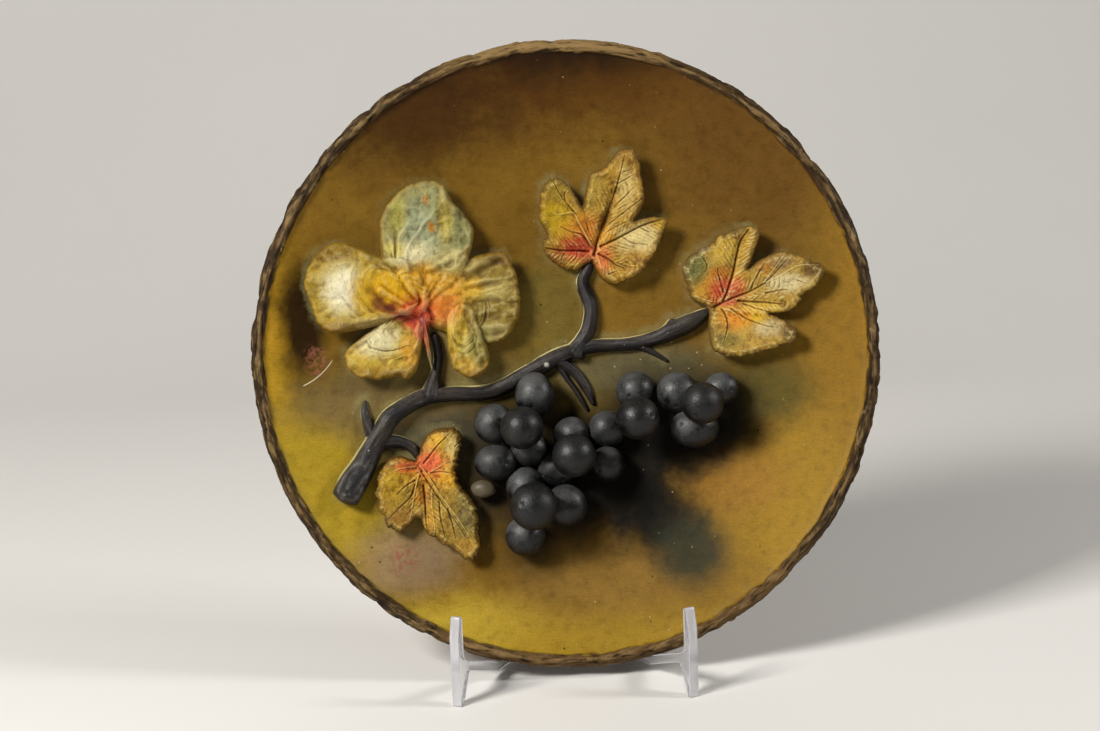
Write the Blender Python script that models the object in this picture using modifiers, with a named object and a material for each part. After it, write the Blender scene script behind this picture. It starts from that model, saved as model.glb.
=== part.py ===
# A round wall dish of painted clay with a spray of vine leaves, a pansy and grapes applied to its face,
# leaning in a two-leg easel of clear acrylic. Metres, +Z up, the origin under the middle of the whole.
# The dish has its own frame: x to the right, y up the face, z out of the face towards the viewer.
import math

import bmesh
import bpy
import numpy as np
from mathutils import Matrix, Vector

# Dish
DISH_DIAMETER = 0.320
DISH_DEPTH = 0.026          # from the rim's crest to the middle of the face
DISH_WALL = 0.0075
FACE_CURVE = 2.2            # exponent of the coupe curve
DISH_SEGMENTS = 96
FACE_STATIONS = (0.0, 0.22, 0.42, 0.60, 0.76, 0.89, 1.0)
RIM_WIDTH = 0.0070          # the rolled edge, from the face to the outside
RIM_STEP = 0.0024           # how far the crest stands proud of the face
RIM_THICKNESS = 0.0088
RIM_LUMPS = 41
RIM_LUMP_DEPTH = 0.0019     # how deep the nicks between the lumps go
FOOT_RING_RADIUS = 0.052
FOOT_RING_WIDTH = 0.0080
FOOT_RING_HEIGHT = 0.0060
HANGING_HOLE = 0.0030
HANGING_HOLE_SPACING = 0.016

# Fits
CLEARANCE = 0.0003          # left between pieces that touch
TRIM_CLEARANCE = 0.0004     # left where a stalk lies in a leaf or in the flower
BED_SINK = 0.62             # height of a stalk's middle over the face, as a share of its radius
WELD = 0.000008             # points closer than this are one
FLAT_EDGE = 0.000004        # edges shorter than this are taken out

# Spray: places on the face are shares of the dish's radius, bearings are degrees from the midrib,
# reaches are shares of the leaf's length, and the last number is the edge's height over the face in steps
EDGE_STEP = 0.0010
LEAF_THICKNESS = 0.0034
LEAF_CROWN = 0.0012
VEIN_DEPTH = 0.0013
VEIN_SPREAD = 5.0           # half the groove's width, in degrees
RAY_GAP = 2.0               # a vein this close to an outline point needs no ray of its own
LEAF_RINGS = 4
UPPER_LEAF = {
    "place": (0.103, 0.311), "heading": 70.3, "length": 0.357,
    "veins": (118, 84, 47, 0, -21, -57, -112),
    "outline": (
        (152, .13, 1.0), (146, .22, 2.0), (121, .35, 4.0), (106, .43, 5.0), (92, .48, 5.0), (82, .47, 4.5),
        (75, .57, 6.0), (60, .71, 7.0), (53, .76, 7.0), (44, .79, 6.0), (38, .67, 5.0), (30, .47, 3.0),
        (24, .60, 5.0), (20, .73, 6.0), (11, .78, 6.0), (3, .97, 6.0), (-3, 1.0, 7.0), (-10, .88, 8.0),
        (-19, .74, 9.0), (-25, .66, 9.0), (-32, .48, 6.0), (-39, .61, 8.0), (-46, .71, 9.0), (-55, .65, 9.0),
        (-67, .56, 9.0), (-82, .49, 8.0), (-100, .41, 8.0), (-124, .32, 6.0), (-142, .22, 3.0),
        (-149, .13, 1.0))}
RIGHT_LEAF = {
    "place": (0.484, 0.126), "heading": 17.4, "length": 0.364,
    "veins": (115, 84, 43, 0, -29, -60),
    "outline": (
        (145, .10, 1.0), (138, .21, 2.0), (120, .30, 3.0), (110, .44, 5.0), (95, .51, 6.0), (78, .54, 6.0),
        (59, .68, 7.0), (48, .77, 7.0), (41, .76, 9.0), (36, .60, 8.0), (30, .46, 5.0), (27, .58, 6.0),
        (22, .73, 7.0), (16, .80, 8.0), (5, .94, 9.0), (0, 1.0, 8.0), (-6, .92, 8.0), (-11, .78, 8.0),
        (-21, .68, 8.0), (-26, .48, 6.0), (-31, .61, 7.0), (-36, .73, 8.0), (-43, .74, 8.0), (-51, .65, 8.0),
        (-65, .54, 8.0), (-84, .48, 8.0), (-100, .41, 7.0), (-113, .34, 5.0), (-123, .20, 3.0),
        (-130, .10, 1.0))}
LOWER_LEAF = {
    "place": (-0.489, -0.341), "heading": -61.0, "length": 0.350,
    "veins": (103, 60, 0, -17, -52, -95),
    "outline": (
        (144, .11, 1.0), (138, .20, 2.0), (128, .33, 3.0), (111, .44, 5.0), (99, .49, 6.0), (84, .43, 6.0),
        (64, .37, 6.0), (43, .38, 6.0), (34, .42, 5.0), (29, .52, 5.0), (23, .66, 6.0), (14, .80, 6.0),
        (6, .95, 7.0), (0, 1.0, 7.0), (-7, .86, 6.0), (-16, .70, 5.0), (-23, .62, 5.0), (-28, .49, 4.0),
        (-35, .52, 4.0), (-47, .63, 5.0), (-61, .59, 5.0), (-76, .51, 5.0), (-96, .41, 5.0), (-112, .35, 4.0),
        (-133, .27, 3.0), (-146, .19, 2.0), (-153, .11, 1.0))}

# Pansy: petals fan out from the throat, each with its own rise at the throat and crown, in metres
PANSY_PLACE = (-0.463, 0.174)
PETAL_THICKNESS = 0.0032
PETAL_RINGS = 3
PETAL_FOLD = 0.0009         # how deep the folds fanned over a petal are pressed
THROAT_RADIUS = 0.0130
THROAT_HEIGHT = 0.0040
TOP_PETAL = {
    "offset": (0.0, 0.02), "heading": 82.4, "length": 0.380, "rise": 0.0012, "crown": 0.0018,
    "outline": (
        (58, .36, 2.0), (47, .48, 2.5), (33, .71, 4.0), (23, .84, 5.0), (11, .95, 5.0), (0, 1.0, 5.5),
        (-7, .97, 6.0), (-13, .87, 6.0), (-23, .80, 6.5), (-34, .72, 7.0), (-43, .56, 7.0), (-58, .40, 5.0))}
RIGHT_PETAL = {
    "offset": (0.02, 0.0), "heading": 3.5, "length": 0.300, "rise": 0.0018, "crown": 0.0022,
    "outline": (
        (64, .44, 4.0), (47, .60, 6.0), (36, .80, 7.0), (29, .99, 7.0), (21, 1.02, 6.5), (8, 1.01, 6.0),
        (-8, 1.0, 6.0), (-21, .96, 6.0), (-32, .88, 5.0), (-42, .72, 4.0), (-54, .42, 3.0))}
LEFT_PETAL = {
    "offset": (0.0, 0.01), "heading": 166.8, "length": 0.366, "rise": 0.0030, "crown": 0.0048,
    "outline": (
        (-62, .38, 5.0), (-38, .52, 5.0), (-27, .82, 6.0), (-17, .95, 6.5), (-6, 1.0, 7.0), (4, .99, 7.0),
        (13, .93, 7.0), (24, .89, 7.0), (31, .80, 7.0), (36, .58, 6.5), (46, .34, 5.0))}
LOWER_PETAL = {
    "offset": (-0.01, -0.03), "heading": -141.2, "length": 0.281, "rise": 0.0014, "crown": 0.0044,
    "outline": (
        (-38, .34, 4.0), (-20, .60, 5.0), (-13, .90, 6.0), (-4, .99, 6.5), (8, .96, 7.0), (21, .84, 7.0),
        (32, .74, 7.0), (40, .76, 6.5), (48, .62, 6.0), (58, .36, 4.0))}
LIP_PETAL = {
    "offset": (0.13, 0.0), "heading": -84.0, "length": 0.243, "rise": 0.0042, "crown": 0.0030,
    "outline": (
        (-60, .22, 6.0), (-33, .42, 8.0), (-21, .68, 8.0), (-12, .90, 7.0), (0, 1.0, 6.5), (11, .96, 6.5),
        (20, .80, 7.0), (25, .55, 7.0), (38, .30, 6.0))}
PISTIL_ROUTE = ((-0.458, 0.130, 5.2), (-0.444, 0.040, 6.8), (-0.432, -0.030, 5.4))
PISTIL_RADIUS = 0.0017
PISTIL_TAPER = 0.55

# Branch: routes as shares of the dish's radius, with the thickness at each point as a share of the stem's
STEM_RADIUS = 0.0070        # at the cut end
STEM_ROUTE = (
    (-0.718, -0.428, .96), (-0.690, -0.378, .96), (-0.642, -0.300, .76), (-0.611, -0.247, .72),
    (-0.575, -0.188, .69), (-0.519, -0.148, .58), (-0.457, -0.123, .55), (-0.365, -0.116, .50),
    (-0.273, -0.117, .49), (-0.196, -0.096, .52), (-0.119, -0.056, .57), (-0.019, -0.006, .55),
    (0.084, 0.019, .45), (0.206, 0.022, .43), (0.300, 0.040, .49), (0.352, 0.062, .62),
    (0.410, 0.086, .60), (0.446, 0.106, .44), (0.470, 0.120, .26))
UPPER_TWIG = (
    (0.030, 0.002, .50), (0.076, 0.075, .48), (0.086, 0.150, .47), (0.064, 0.225, .44),
    (0.082, 0.270, .36), (0.094, 0.293, .26))
PANSY_TWIG = (
    (-0.444, -0.118, .52), (-0.424, -0.048, .37), (-0.414, -0.003, .33), (-0.415, 0.036, .30),
    (-0.422, 0.072, .28))
LOWER_TWIG = ((-0.600, -0.262, .42), (-0.547, -0.264, .39), (-0.509, -0.284, .35), (-0.486, -0.320, .25))
THORN = ((-0.618, -0.258, .46), (-0.645, -0.205, .33), (-0.655, -0.165, .28), (-0.652, -0.130, .12))
KNOB = ((0.335, 0.052, .44), (0.353, 0.086, .34))
TENDRIL = ((0.238, 0.018, .27), (0.290, -0.013, .18), (0.327, -0.037, .12))
BUNCH_STALK = ((-0.020, -0.012, .50), (0.012, -0.058, .44), (0.042, -0.108, .38), (0.070, -0.180, .28))
BUNCH_STRAND = ((-0.010, -0.016, .44), (0.042, -0.050, .36), (0.074, -0.102, .30), (0.090, -0.160, .22))
TWIG_STEP = 0.00015         # each side twig is bedded this much higher than the one before
STEM_STATION = 0.0110       # spacing of the sections along a stalk
STALK_SIDES_RESOLUTION = 2  # bevel resolution: eight sides

# Grapes: places over the bunch's anchor in grape diameters, with each grape's size as a share of the
# diameter. They settle in this order, each on the face, the branch and the grapes before it.
GRAPE_DIAMETER = 0.0210
BUNCH_PLACE = (-0.056, -0.288)
GRAPE_SEGMENTS = 10
GRAPE_RINGS = 6
GRAPES = (
    (-1.39, 0.53, .99), (-0.38, 1.19, 1.02), (-1.39, -0.42, .88), (-0.55, -0.13, .84), (-0.68, -1.04, .92),
    (-0.74, -2.22, .98), (0.28, -1.53, .97), (0.49, 0.18, .90), (0.10, -0.63, .77), (1.34, -0.56, .86),
    (1.37, 0.30, .80), (2.10, 1.20, .96), (3.12, 1.12, .95), (4.20, 1.18, .77), (3.50, 0.24, .91),
    (-0.71, 0.43, 1.05), (0.52, -0.29, 1.06), (-0.50, -1.46, 1.16), (2.10, 0.55, 1.05), (3.67, 0.85, 1.02),
    (-1.72, -1.05, .47))

# Lean and lift of the dish, and the easel
DISH_LEAN = 13.0            # degrees back from upright
DISH_LIFT = 0.0070          # the rim's front edge over the table, at the bottom
EASEL_SPREAD = 0.118        # between the middles of the two front feet
EASEL_SPLAY = 26.0          # each leg's heading, degrees off straight back
EASEL_SHIFT = -0.0022       # the easel's middle is a little left of the dish's
EASEL_SEAT = 22.0           # slope of the ledge, degrees down to the back
LEG_THICKNESS = 0.0050
LEG_LENGTH = 0.154
FRONT_REACH = 0.030         # how far the feet stand in front of the rim's bottom
FRONT_FOOT = 0.0030
REAR_FOOT = 0.028
PRONG_HEIGHT = 0.046
PRONG_BEND = 0.036          # the prong's front is upright to here
PRONG_LEAN = 14.0           # degrees back, over the bend
PRONG_DEPTH = 0.0052
ARM_ROOT = 0.0098           # where the slanted foot meets the arm, along the leg
LEDGE_DEPTH = 0.0050        # acrylic under the ledge
SADDLE_END = 0.046          # where the ledge meets the back support, along the leg
ARCH_HEIGHT = 0.0040
TAIL_HEIGHT = 0.024
WEB_RISE = 0.012            # how far the back support's foot stands over the tail
MAST_WIDTH = 0.0130
MAST_ROOT = 0.030           # width of the back support at its foot
MAST_OVERRUN = 0.0050       # how far the back support rises past the foot ring's lower edge
CORNER_RADIUS = 0.0020
INNER_RADIUS = 0.0060

DISH_RADIUS = DISH_DIAMETER / 2
FACE_RADIUS = DISH_RADIUS - RIM_WIDTH
DISH_BACK = -(DISH_DEPTH + DISH_WALL + FOOT_RING_HEIGHT)


def clear_scene():
    for thing in list(bpy.data.objects):
        bpy.data.objects.remove(thing, do_unlink=True)


def collection(name):
    group = bpy.data.collections.new(name)
    bpy.context.scene.collection.children.link(group)
    return group


def material(name, colour, roughness, alpha=1.0):
    """A plain finish; the colour is linear red, green and blue."""
    finish = bpy.data.materials.new(name)
    finish.use_nodes = True
    shader = finish.node_tree.nodes["Principled BSDF"]
    shader.inputs["Base Color"].default_value = (*colour, 1.0)
    shader.inputs["Roughness"].default_value = roughness
    shader.inputs["Metallic"].default_value = 0.0
    shader.inputs["Alpha"].default_value = alpha
    return finish


def add_object(name, mesh, group, parent=None):
    thing = bpy.data.objects.new(name, mesh)
    group.objects.link(thing)
    thing.parent = parent
    return thing


def mesh_from(bm, name):
    bmesh.ops.recalc_face_normals(bm, faces=bm.faces)
    mesh = bpy.data.meshes.new(name)
    bm.to_mesh(mesh)
    bm.free()
    return mesh


def applied(thing):
    """The object's mesh with its modifiers applied."""
    bpy.context.view_layer.update()
    depsgraph = bpy.context.evaluated_depsgraph_get()
    return bpy.data.meshes.new_from_object(thing.evaluated_get(depsgraph), depsgraph=depsgraph)


def bake(thing):
    """Replaces the object's mesh by its modified one, with loose ends welded."""
    mesh = applied(thing)
    thing.modifiers.clear()
    bm = bmesh.new()
    bm.from_mesh(mesh)
    bmesh.ops.remove_doubles(bm, verts=bm.verts, dist=WELD)
    bmesh.ops.dissolve_degenerate(bm, edges=bm.edges, dist=FLAT_EDGE)
    bmesh.ops.triangulate(bm, faces=[face for face in bm.faces if len(face.verts) > 4])
    bm.to_mesh(mesh)
    bm.free()
    thing.data = mesh


def boolean(thing, operation, other):
    """Joins or cuts with another object, which is used up."""
    step = thing.modifiers.new(operation.lower(), "BOOLEAN")
    step.operation = operation
    step.solver = "EXACT"
    step.object = other
    bake(thing)
    bpy.data.objects.remove(other, do_unlink=True)


def shade_round(thing, angle=40.0):
    thing.data.shade_smooth()
    thing.data.set_sharp_from_angle(angle=math.radians(angle))


def coupe(radius):
    """Height of the smooth face at a distance from the dish's middle."""
    share = min(abs(radius) / FACE_RADIUS, 1.0)
    return -DISH_DEPTH + (DISH_DEPTH - RIM_STEP) * share ** FACE_CURVE


def face_height(x, y):
    """Height of the turned face, flat between its stations."""
    stations = [share * FACE_RADIUS for share in FACE_STATIONS]
    return float(np.interp(math.hypot(x, y), stations, [coupe(station) for station in stations]))


def on_dish(place):
    return place[0] * DISH_RADIUS, place[1] * DISH_RADIUS


def lump(angle):
    """Share of the nick's depth at an angle round the rim: 0 on a lump's crown, 1 in a nick."""
    phase = angle * RIM_LUMPS / math.tau + 0.9 * math.sin(3 * angle + 0.7) + 0.5 * math.sin(7 * angle + 2.1)
    return 1.0 - abs(math.sin(math.pi * phase)) ** 0.6


def dish_profile():
    """Half section of the dish, from the middle of the face over the rim to the middle of the back."""
    front = [(share * FACE_RADIUS, coupe(share * FACE_RADIUS)) for share in FACE_STATIONS]
    rim = [(FACE_RADIUS + 0.45 * RIM_WIDTH, 0.0),
           (DISH_RADIUS - 0.10 * RIM_WIDTH, -0.22 * RIM_THICKNESS),
           (DISH_RADIUS, -0.55 * RIM_THICKNESS),
           (DISH_RADIUS - 0.28 * RIM_WIDTH, -RIM_THICKNESS)]
    back = [(share * FACE_RADIUS, coupe(share * FACE_RADIUS) - DISH_WALL) for share in (0.90, 0.62)]
    ring_inside = FOOT_RING_RADIUS - FOOT_RING_WIDTH
    root = 0.35 * FOOT_RING_HEIGHT
    ring = [(FOOT_RING_RADIUS + root, coupe(FOOT_RING_RADIUS + root) - DISH_WALL),
            (FOOT_RING_RADIUS, DISH_BACK),
            (ring_inside, DISH_BACK),
            (ring_inside - root, coupe(ring_inside - root) - DISH_WALL),
            (0.0, -DISH_DEPTH - DISH_WALL)]
    return front + rim + back + ring


def turned(name, profile, segments, group):
    """A solid turned about its z axis."""
    mesh = bpy.data.meshes.new(name)
    mesh.from_pydata([(x, 0.0, z) for x, z in profile], [(i, i + 1) for i in range(len(profile) - 1)], [])
    thing = add_object(name, mesh, group)
    screw = thing.modifiers.new("turn", "SCREW")
    screw.axis = "Z"
    screw.steps = segments
    screw.render_steps = segments
    screw.use_merge_vertices = True
    screw.merge_threshold = WELD
    bake(thing)
    return thing


def make_dish(group, frame, finish):
    dish = turned("dish", dish_profile(), DISH_SEGMENTS, group)
    for vertex in dish.data.vertices:
        radius = math.hypot(vertex.co.x, vertex.co.y)
        if radius > FACE_RADIUS + 0.1 * RIM_WIDTH:
            angle = math.atan2(vertex.co.y, vertex.co.x)
            nick = RIM_LUMP_DEPTH * lump(angle) * min(1.0, (radius - FACE_RADIUS) / (0.6 * RIM_WIDTH))
            vertex.co.x -= nick * math.cos(angle)
            vertex.co.y -= nick * math.sin(angle)
            vertex.co.z -= 0.5 * RIM_LUMP_DEPTH * lump(angle + 0.04) * (vertex.co.z > -0.5 * RIM_THICKNESS)
    ring_middle = FOOT_RING_RADIUS - 0.5 * FOOT_RING_WIDTH
    for side in (-1, 1):
        bm = bmesh.new()
        hole_x = side * HANGING_HOLE_SPACING / 2
        turn = Matrix.Rotation(math.radians(90), 4, "X")
        shift = Matrix.Translation((hole_x, ring_middle, DISH_BACK + 0.5 * FOOT_RING_HEIGHT))
        bmesh.ops.create_cone(bm, cap_ends=True, segments=8, radius1=HANGING_HOLE / 2, radius2=HANGING_HOLE / 2,
                              depth=3 * FOOT_RING_WIDTH, matrix=shift @ turn)
        drill = add_object("drill", mesh_from(bm, "drill"), group)
        boolean(dish, "DIFFERENCE", drill)
    dish.parent = frame
    dish.data.materials.append(finish)
    shade_round(dish)
    return dish


def fan_rays(outline, veins):
    """The outline as rays from right to left: bearing, reach and edge height, with a ray on each vein."""
    by_bearing = sorted(outline)
    known = [bearing for bearing, _, _ in by_bearing]
    extra = [vein for vein in veins if min(abs(vein - bearing) for bearing in known) > RAY_GAP]
    bearings = sorted(known + extra)
    reaches = np.interp(bearings, known, [reach for _, reach, _ in by_bearing])
    lifts = np.interp(bearings, known, [lift for _, _, lift in by_bearing])
    return list(zip(bearings, reaches, lifts))


def vein_groove(bearing, ring, veins):
    """Depth of the carved veins, deepest half way out and gone at the edge."""
    nearest = min((abs(bearing - vein) for vein in veins), default=VEIN_SPREAD)
    across = max(0.0, 1.0 - nearest / VEIN_SPREAD)
    return VEIN_DEPTH * across * math.sin(math.pi * min(1.0, 0.25 + 0.75 * ring))


def clay_sheet(name, group, parent, place, heading, length, outline, rings, thickness, rise, crown,
               veins=(), fold=0.0):
    """A sheet of clay fanned out from its stalk, its underside bent to stand off the dish's face.
    Veins are carved along their bearings; a fold presses down every other ray."""
    middle_x, middle_y = on_dish(place)
    middle_z = face_height(middle_x, middle_y)
    rays = fan_rays(outline, veins)
    turn = math.radians(heading)
    bm = bmesh.new()
    bmesh.ops.create_grid(bm, x_segments=len(rays) - 1, y_segments=rings, size=0.5)
    under = bm.verts.layers.float.new("under")
    over = bm.verts.layers.float.new("over")
    for vertex in bm.verts:
        number = round((vertex.co.x + 0.5) * (len(rays) - 1))
        bearing, reach, lift = rays[number]
        ring = round((vertex.co.y + 0.5) * rings) / rings
        out = reach * ring * length * DISH_RADIUS
        angle = math.radians(90 + bearing)
        vertex.co = (out * math.cos(angle), out * math.sin(angle), 0.0)
        place_x = middle_x + out * math.cos(turn + math.radians(bearing))
        place_y = middle_y + out * math.sin(turn + math.radians(bearing))
        stand_off = rise * (1 - ring) + lift * EDGE_STEP * ring ** 1.4 + crown * math.sin(math.pi * ring ** 0.7)
        vertex[under] = face_height(place_x, place_y) + max(stand_off, CLEARANCE) - middle_z
        pressed = fold * (number % 2) * ring
        vertex[over] = vertex[under] + thickness - vein_groove(bearing, ring, veins) - pressed
    bmesh.ops.remove_doubles(bm, verts=bm.verts, dist=WELD)
    front = bmesh.ops.extrude_face_region(bm, geom=bm.faces[:], use_keep_orig=True)
    front_verts = {item for item in front["geom"] if isinstance(item, bmesh.types.BMVert)}
    for vertex in bm.verts:
        vertex.co.z = vertex[over] if vertex in front_verts else vertex[under]
    sheet = add_object(name, mesh_from(bm, name), group, parent)
    sheet.location = (middle_x, middle_y, middle_z)
    sheet.rotation_euler.z = turn - math.radians(90)
    return sheet


def smooth_route(points, spacing):
    """Points at an even spacing on a Catmull-Rom curve through the route's own points."""
    knots = [Vector(point) for point in points]
    knots = [2 * knots[0] - knots[1]] + knots + [2 * knots[-1] - knots[-2]]
    route = []
    for a, b, c, d in zip(knots, knots[1:], knots[2:], knots[3:]):
        steps = max(1, round((c.xy - b.xy).length / spacing))
        for step in range(steps):
            t = step / steps
            route.append(0.5 * ((2 * b) + (c - a) * t + (2 * a - 5 * b + 4 * c - d) * t ** 2
                                + (3 * b - a - 3 * c + d) * t ** 3))
    return route + [knots[-2]]


def stalk_stations(route, spacing=STEM_STATION):
    """Middles and radii along a stalk that lies on the face."""
    flat = [(*on_dish(point), point[2] * STEM_RADIUS) for point in route]
    return [((x, y, face_height(x, y) + CLEARANCE + BED_SINK * radius), radius)
            for x, y, radius in smooth_route(flat, spacing)]


def stalk(name, stations, group, grow=0.0, bed=None):
    """A tapered rod of clay; its underside is pressed flat at the bed's height over the face."""
    curve = bpy.data.curves.new(name, "CURVE")
    curve.dimensions = "3D"
    curve.bevel_depth = 1.0
    curve.bevel_resolution = STALK_SIDES_RESOLUTION
    curve.use_fill_caps = True
    spline = curve.splines.new("POLY")
    spline.points.add(len(stations) - 1)
    for point, (middle, radius) in zip(spline.points, stations):
        point.co = (*middle, 1.0)
        point.radius = radius + grow
    rod = add_object(name, curve, group)
    mesh = applied(rod)
    bpy.data.objects.remove(rod, do_unlink=True)
    bm = bmesh.new()
    bm.from_mesh(mesh)
    bmesh.ops.remove_doubles(bm, verts=bm.verts, dist=WELD)
    if bed is not None:
        for vertex in bm.verts:
            vertex.co.z = max(vertex.co.z, face_height(vertex.co.x, vertex.co.y) + bed)
    bm.to_mesh(mesh)
    bm.free()
    return add_object(name, mesh, group)


def make_branch(group, frame, finish):
    branch = stalk("branch", stalk_stations(STEM_ROUTE), group, bed=CLEARANCE)
    twigs = (UPPER_TWIG, PANSY_TWIG, LOWER_TWIG, THORN, KNOB, TENDRIL, BUNCH_STALK, BUNCH_STRAND)
    for number, route in enumerate(twigs, start=1):
        twig = stalk("twig", stalk_stations(route), group, bed=CLEARANCE + number * TWIG_STEP)
        boolean(branch, "UNION", twig)
    branch.parent = frame
    branch.data.materials.clear()
    branch.data.materials.append(finish)
    shade_round(branch, 50.0)
    return branch


def lay_open(piece, route, group, frame):
    """Cuts the bed of a stalk out of a piece that it runs into."""
    stations = stalk_stations(route)
    cutter = stalk("bed", stations, group, grow=TRIM_CLEARANCE)
    cutter.parent = frame
    boolean(piece, "DIFFERENCE", cutter)


def make_leaf(name, leaf, twig, group, frame, finish):
    blade = clay_sheet(name, group, frame, leaf["place"], leaf["heading"], leaf["length"], leaf["outline"],
                       LEAF_RINGS, LEAF_THICKNESS, CLEARANCE, LEAF_CROWN, leaf["veins"])
    lay_open(blade, twig, group, frame)
    blade.data.materials.clear()
    blade.data.materials.append(finish)
    shade_round(blade, 30.0)
    return blade


def make_petal(petal, group, frame):
    place = (PANSY_PLACE[0] + petal["offset"][0], PANSY_PLACE[1] + petal["offset"][1])
    return clay_sheet("petal", group, frame, place, petal["heading"], petal["length"], petal["outline"],
                      PETAL_RINGS, PETAL_THICKNESS, petal["rise"], petal["crown"], fold=PETAL_FOLD)


def pistil_stations():
    """The pistil's middles and radii; where it crosses the twig it lies over it."""
    twig = [(*middle, radius) for middle, radius in stalk_stations(PANSY_TWIG, PISTIL_RADIUS)]
    route = [(*on_dish(point), point[2] * EDGE_STEP) for point in PISTIL_ROUTE]
    knots = smooth_route(route, STEM_STATION / 2)
    stations = []
    for index, (x, y, height) in enumerate(knots):
        radius = PISTIL_RADIUS * (1 - PISTIL_TAPER * index / (len(knots) - 1))
        stations.append(((x, y, max(face_height(x, y) + height, settle(x, y, radius, twig))), radius))
    return stations


def make_pansy(group, frame, finish):
    """The throat with five petals and the pistil pressed on it, as one piece."""
    throat_x, throat_y = on_dish(PANSY_PLACE)
    throat_z = face_height(throat_x, throat_y) + CLEARANCE
    bm = bmesh.new()
    bmesh.ops.create_cone(bm, cap_ends=True, segments=14, radius1=THROAT_RADIUS, radius2=0.6 * THROAT_RADIUS,
                          depth=THROAT_HEIGHT)
    pansy = add_object("pansy", mesh_from(bm, "pansy"), group, frame)
    dish_rise = face_height(throat_x - THROAT_RADIUS, throat_y) - face_height(throat_x, throat_y)
    pansy.location = (throat_x, throat_y, throat_z + dish_rise + THROAT_HEIGHT / 2)
    for petal in (TOP_PETAL, RIGHT_PETAL, LOWER_PETAL, LEFT_PETAL, LIP_PETAL):
        boolean(pansy, "UNION", make_petal(petal, group, frame))
    lay_open(pansy, PANSY_TWIG, group, frame)
    pistil = stalk("pistil", pistil_stations(), group)
    pistil.parent = frame
    boolean(pansy, "UNION", pistil)
    pansy.data.materials.clear()
    pansy.data.materials.append(finish)
    shade_round(pansy, 35.0)
    return pansy


def settle(x, y, radius, placed):
    """Height at which a ball over (x, y) comes to rest on the face and the balls already placed."""
    step = 0.25 * radius
    slope = math.hypot(face_height(x + step, y) - face_height(x - step, y),
                       face_height(x, y + step) - face_height(x, y - step)) / (2 * step)
    heights = [face_height(x, y) + (radius + CLEARANCE) * math.hypot(1.0, slope)]
    for other_x, other_y, other_z, other_radius in placed:
        reach = radius + other_radius + CLEARANCE
        apart = math.hypot(x - other_x, y - other_y)
        if apart < reach:
            heights.append(other_z + math.sqrt(reach ** 2 - apart ** 2))
    return max(heights)


def make_grapes(group, frame, finish):
    routes = (STEM_ROUTE, UPPER_TWIG, BUNCH_STALK, BUNCH_STRAND, TENDRIL)
    placed = [(*middle, radius) for route in routes for middle, radius in stalk_stations(route, 0.002)]
    anchor_x, anchor_y = on_dish(BUNCH_PLACE)
    grapes = []
    for number, (across, up, size) in enumerate(GRAPES, start=1):
        x = anchor_x + across * GRAPE_DIAMETER
        y = anchor_y + up * GRAPE_DIAMETER
        radius = size * GRAPE_DIAMETER / 2
        z = settle(x, y, radius, placed)
        placed.append((x, y, z, radius))
        bm = bmesh.new()
        bmesh.ops.create_uvsphere(bm, u_segments=GRAPE_SEGMENTS, v_segments=GRAPE_RINGS, radius=radius)
        name = f"grape_{number:02d}"
        grape = add_object(name, mesh_from(bm, name), group, frame)
        grape.location = (x, y, z)
        grape.data.materials.append(finish)
        grape.data.shade_smooth()
        grapes.append(grape)
    return grapes


def rounded(corners, arc_steps=4):
    """Outline points of a polygon whose corners, given as x, y and radius, are rounded off."""
    points = []
    for index, (x, y, radius) in enumerate(corners):
        corner = Vector((x, y))
        before = (Vector(corners[index - 1][:2]) - corner).normalized()
        after = (Vector(corners[(index + 1) % len(corners)][:2]) - corner).normalized()
        if radius <= 0:
            points.append(corner)
            continue
        half = before.angle(after) / 2
        middle = corner + (before + after).normalized() * radius / math.sin(half)
        start = corner + before * radius / math.tan(half) - middle
        sweep = start.angle_signed(corner + after * radius / math.tan(half) - middle)
        for step in range(arc_steps + 1):
            points.append(middle + Matrix.Rotation(-sweep * step / arc_steps, 2) @ start)
    return points


def dish_to_table(point, centre):
    """A point of the dish's frame in the table's frame, in a dish that leans back about its centre."""
    return centre + Matrix.Rotation(math.radians(90 - DISH_LEAN), 3, "X") @ Vector(point)


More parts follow.
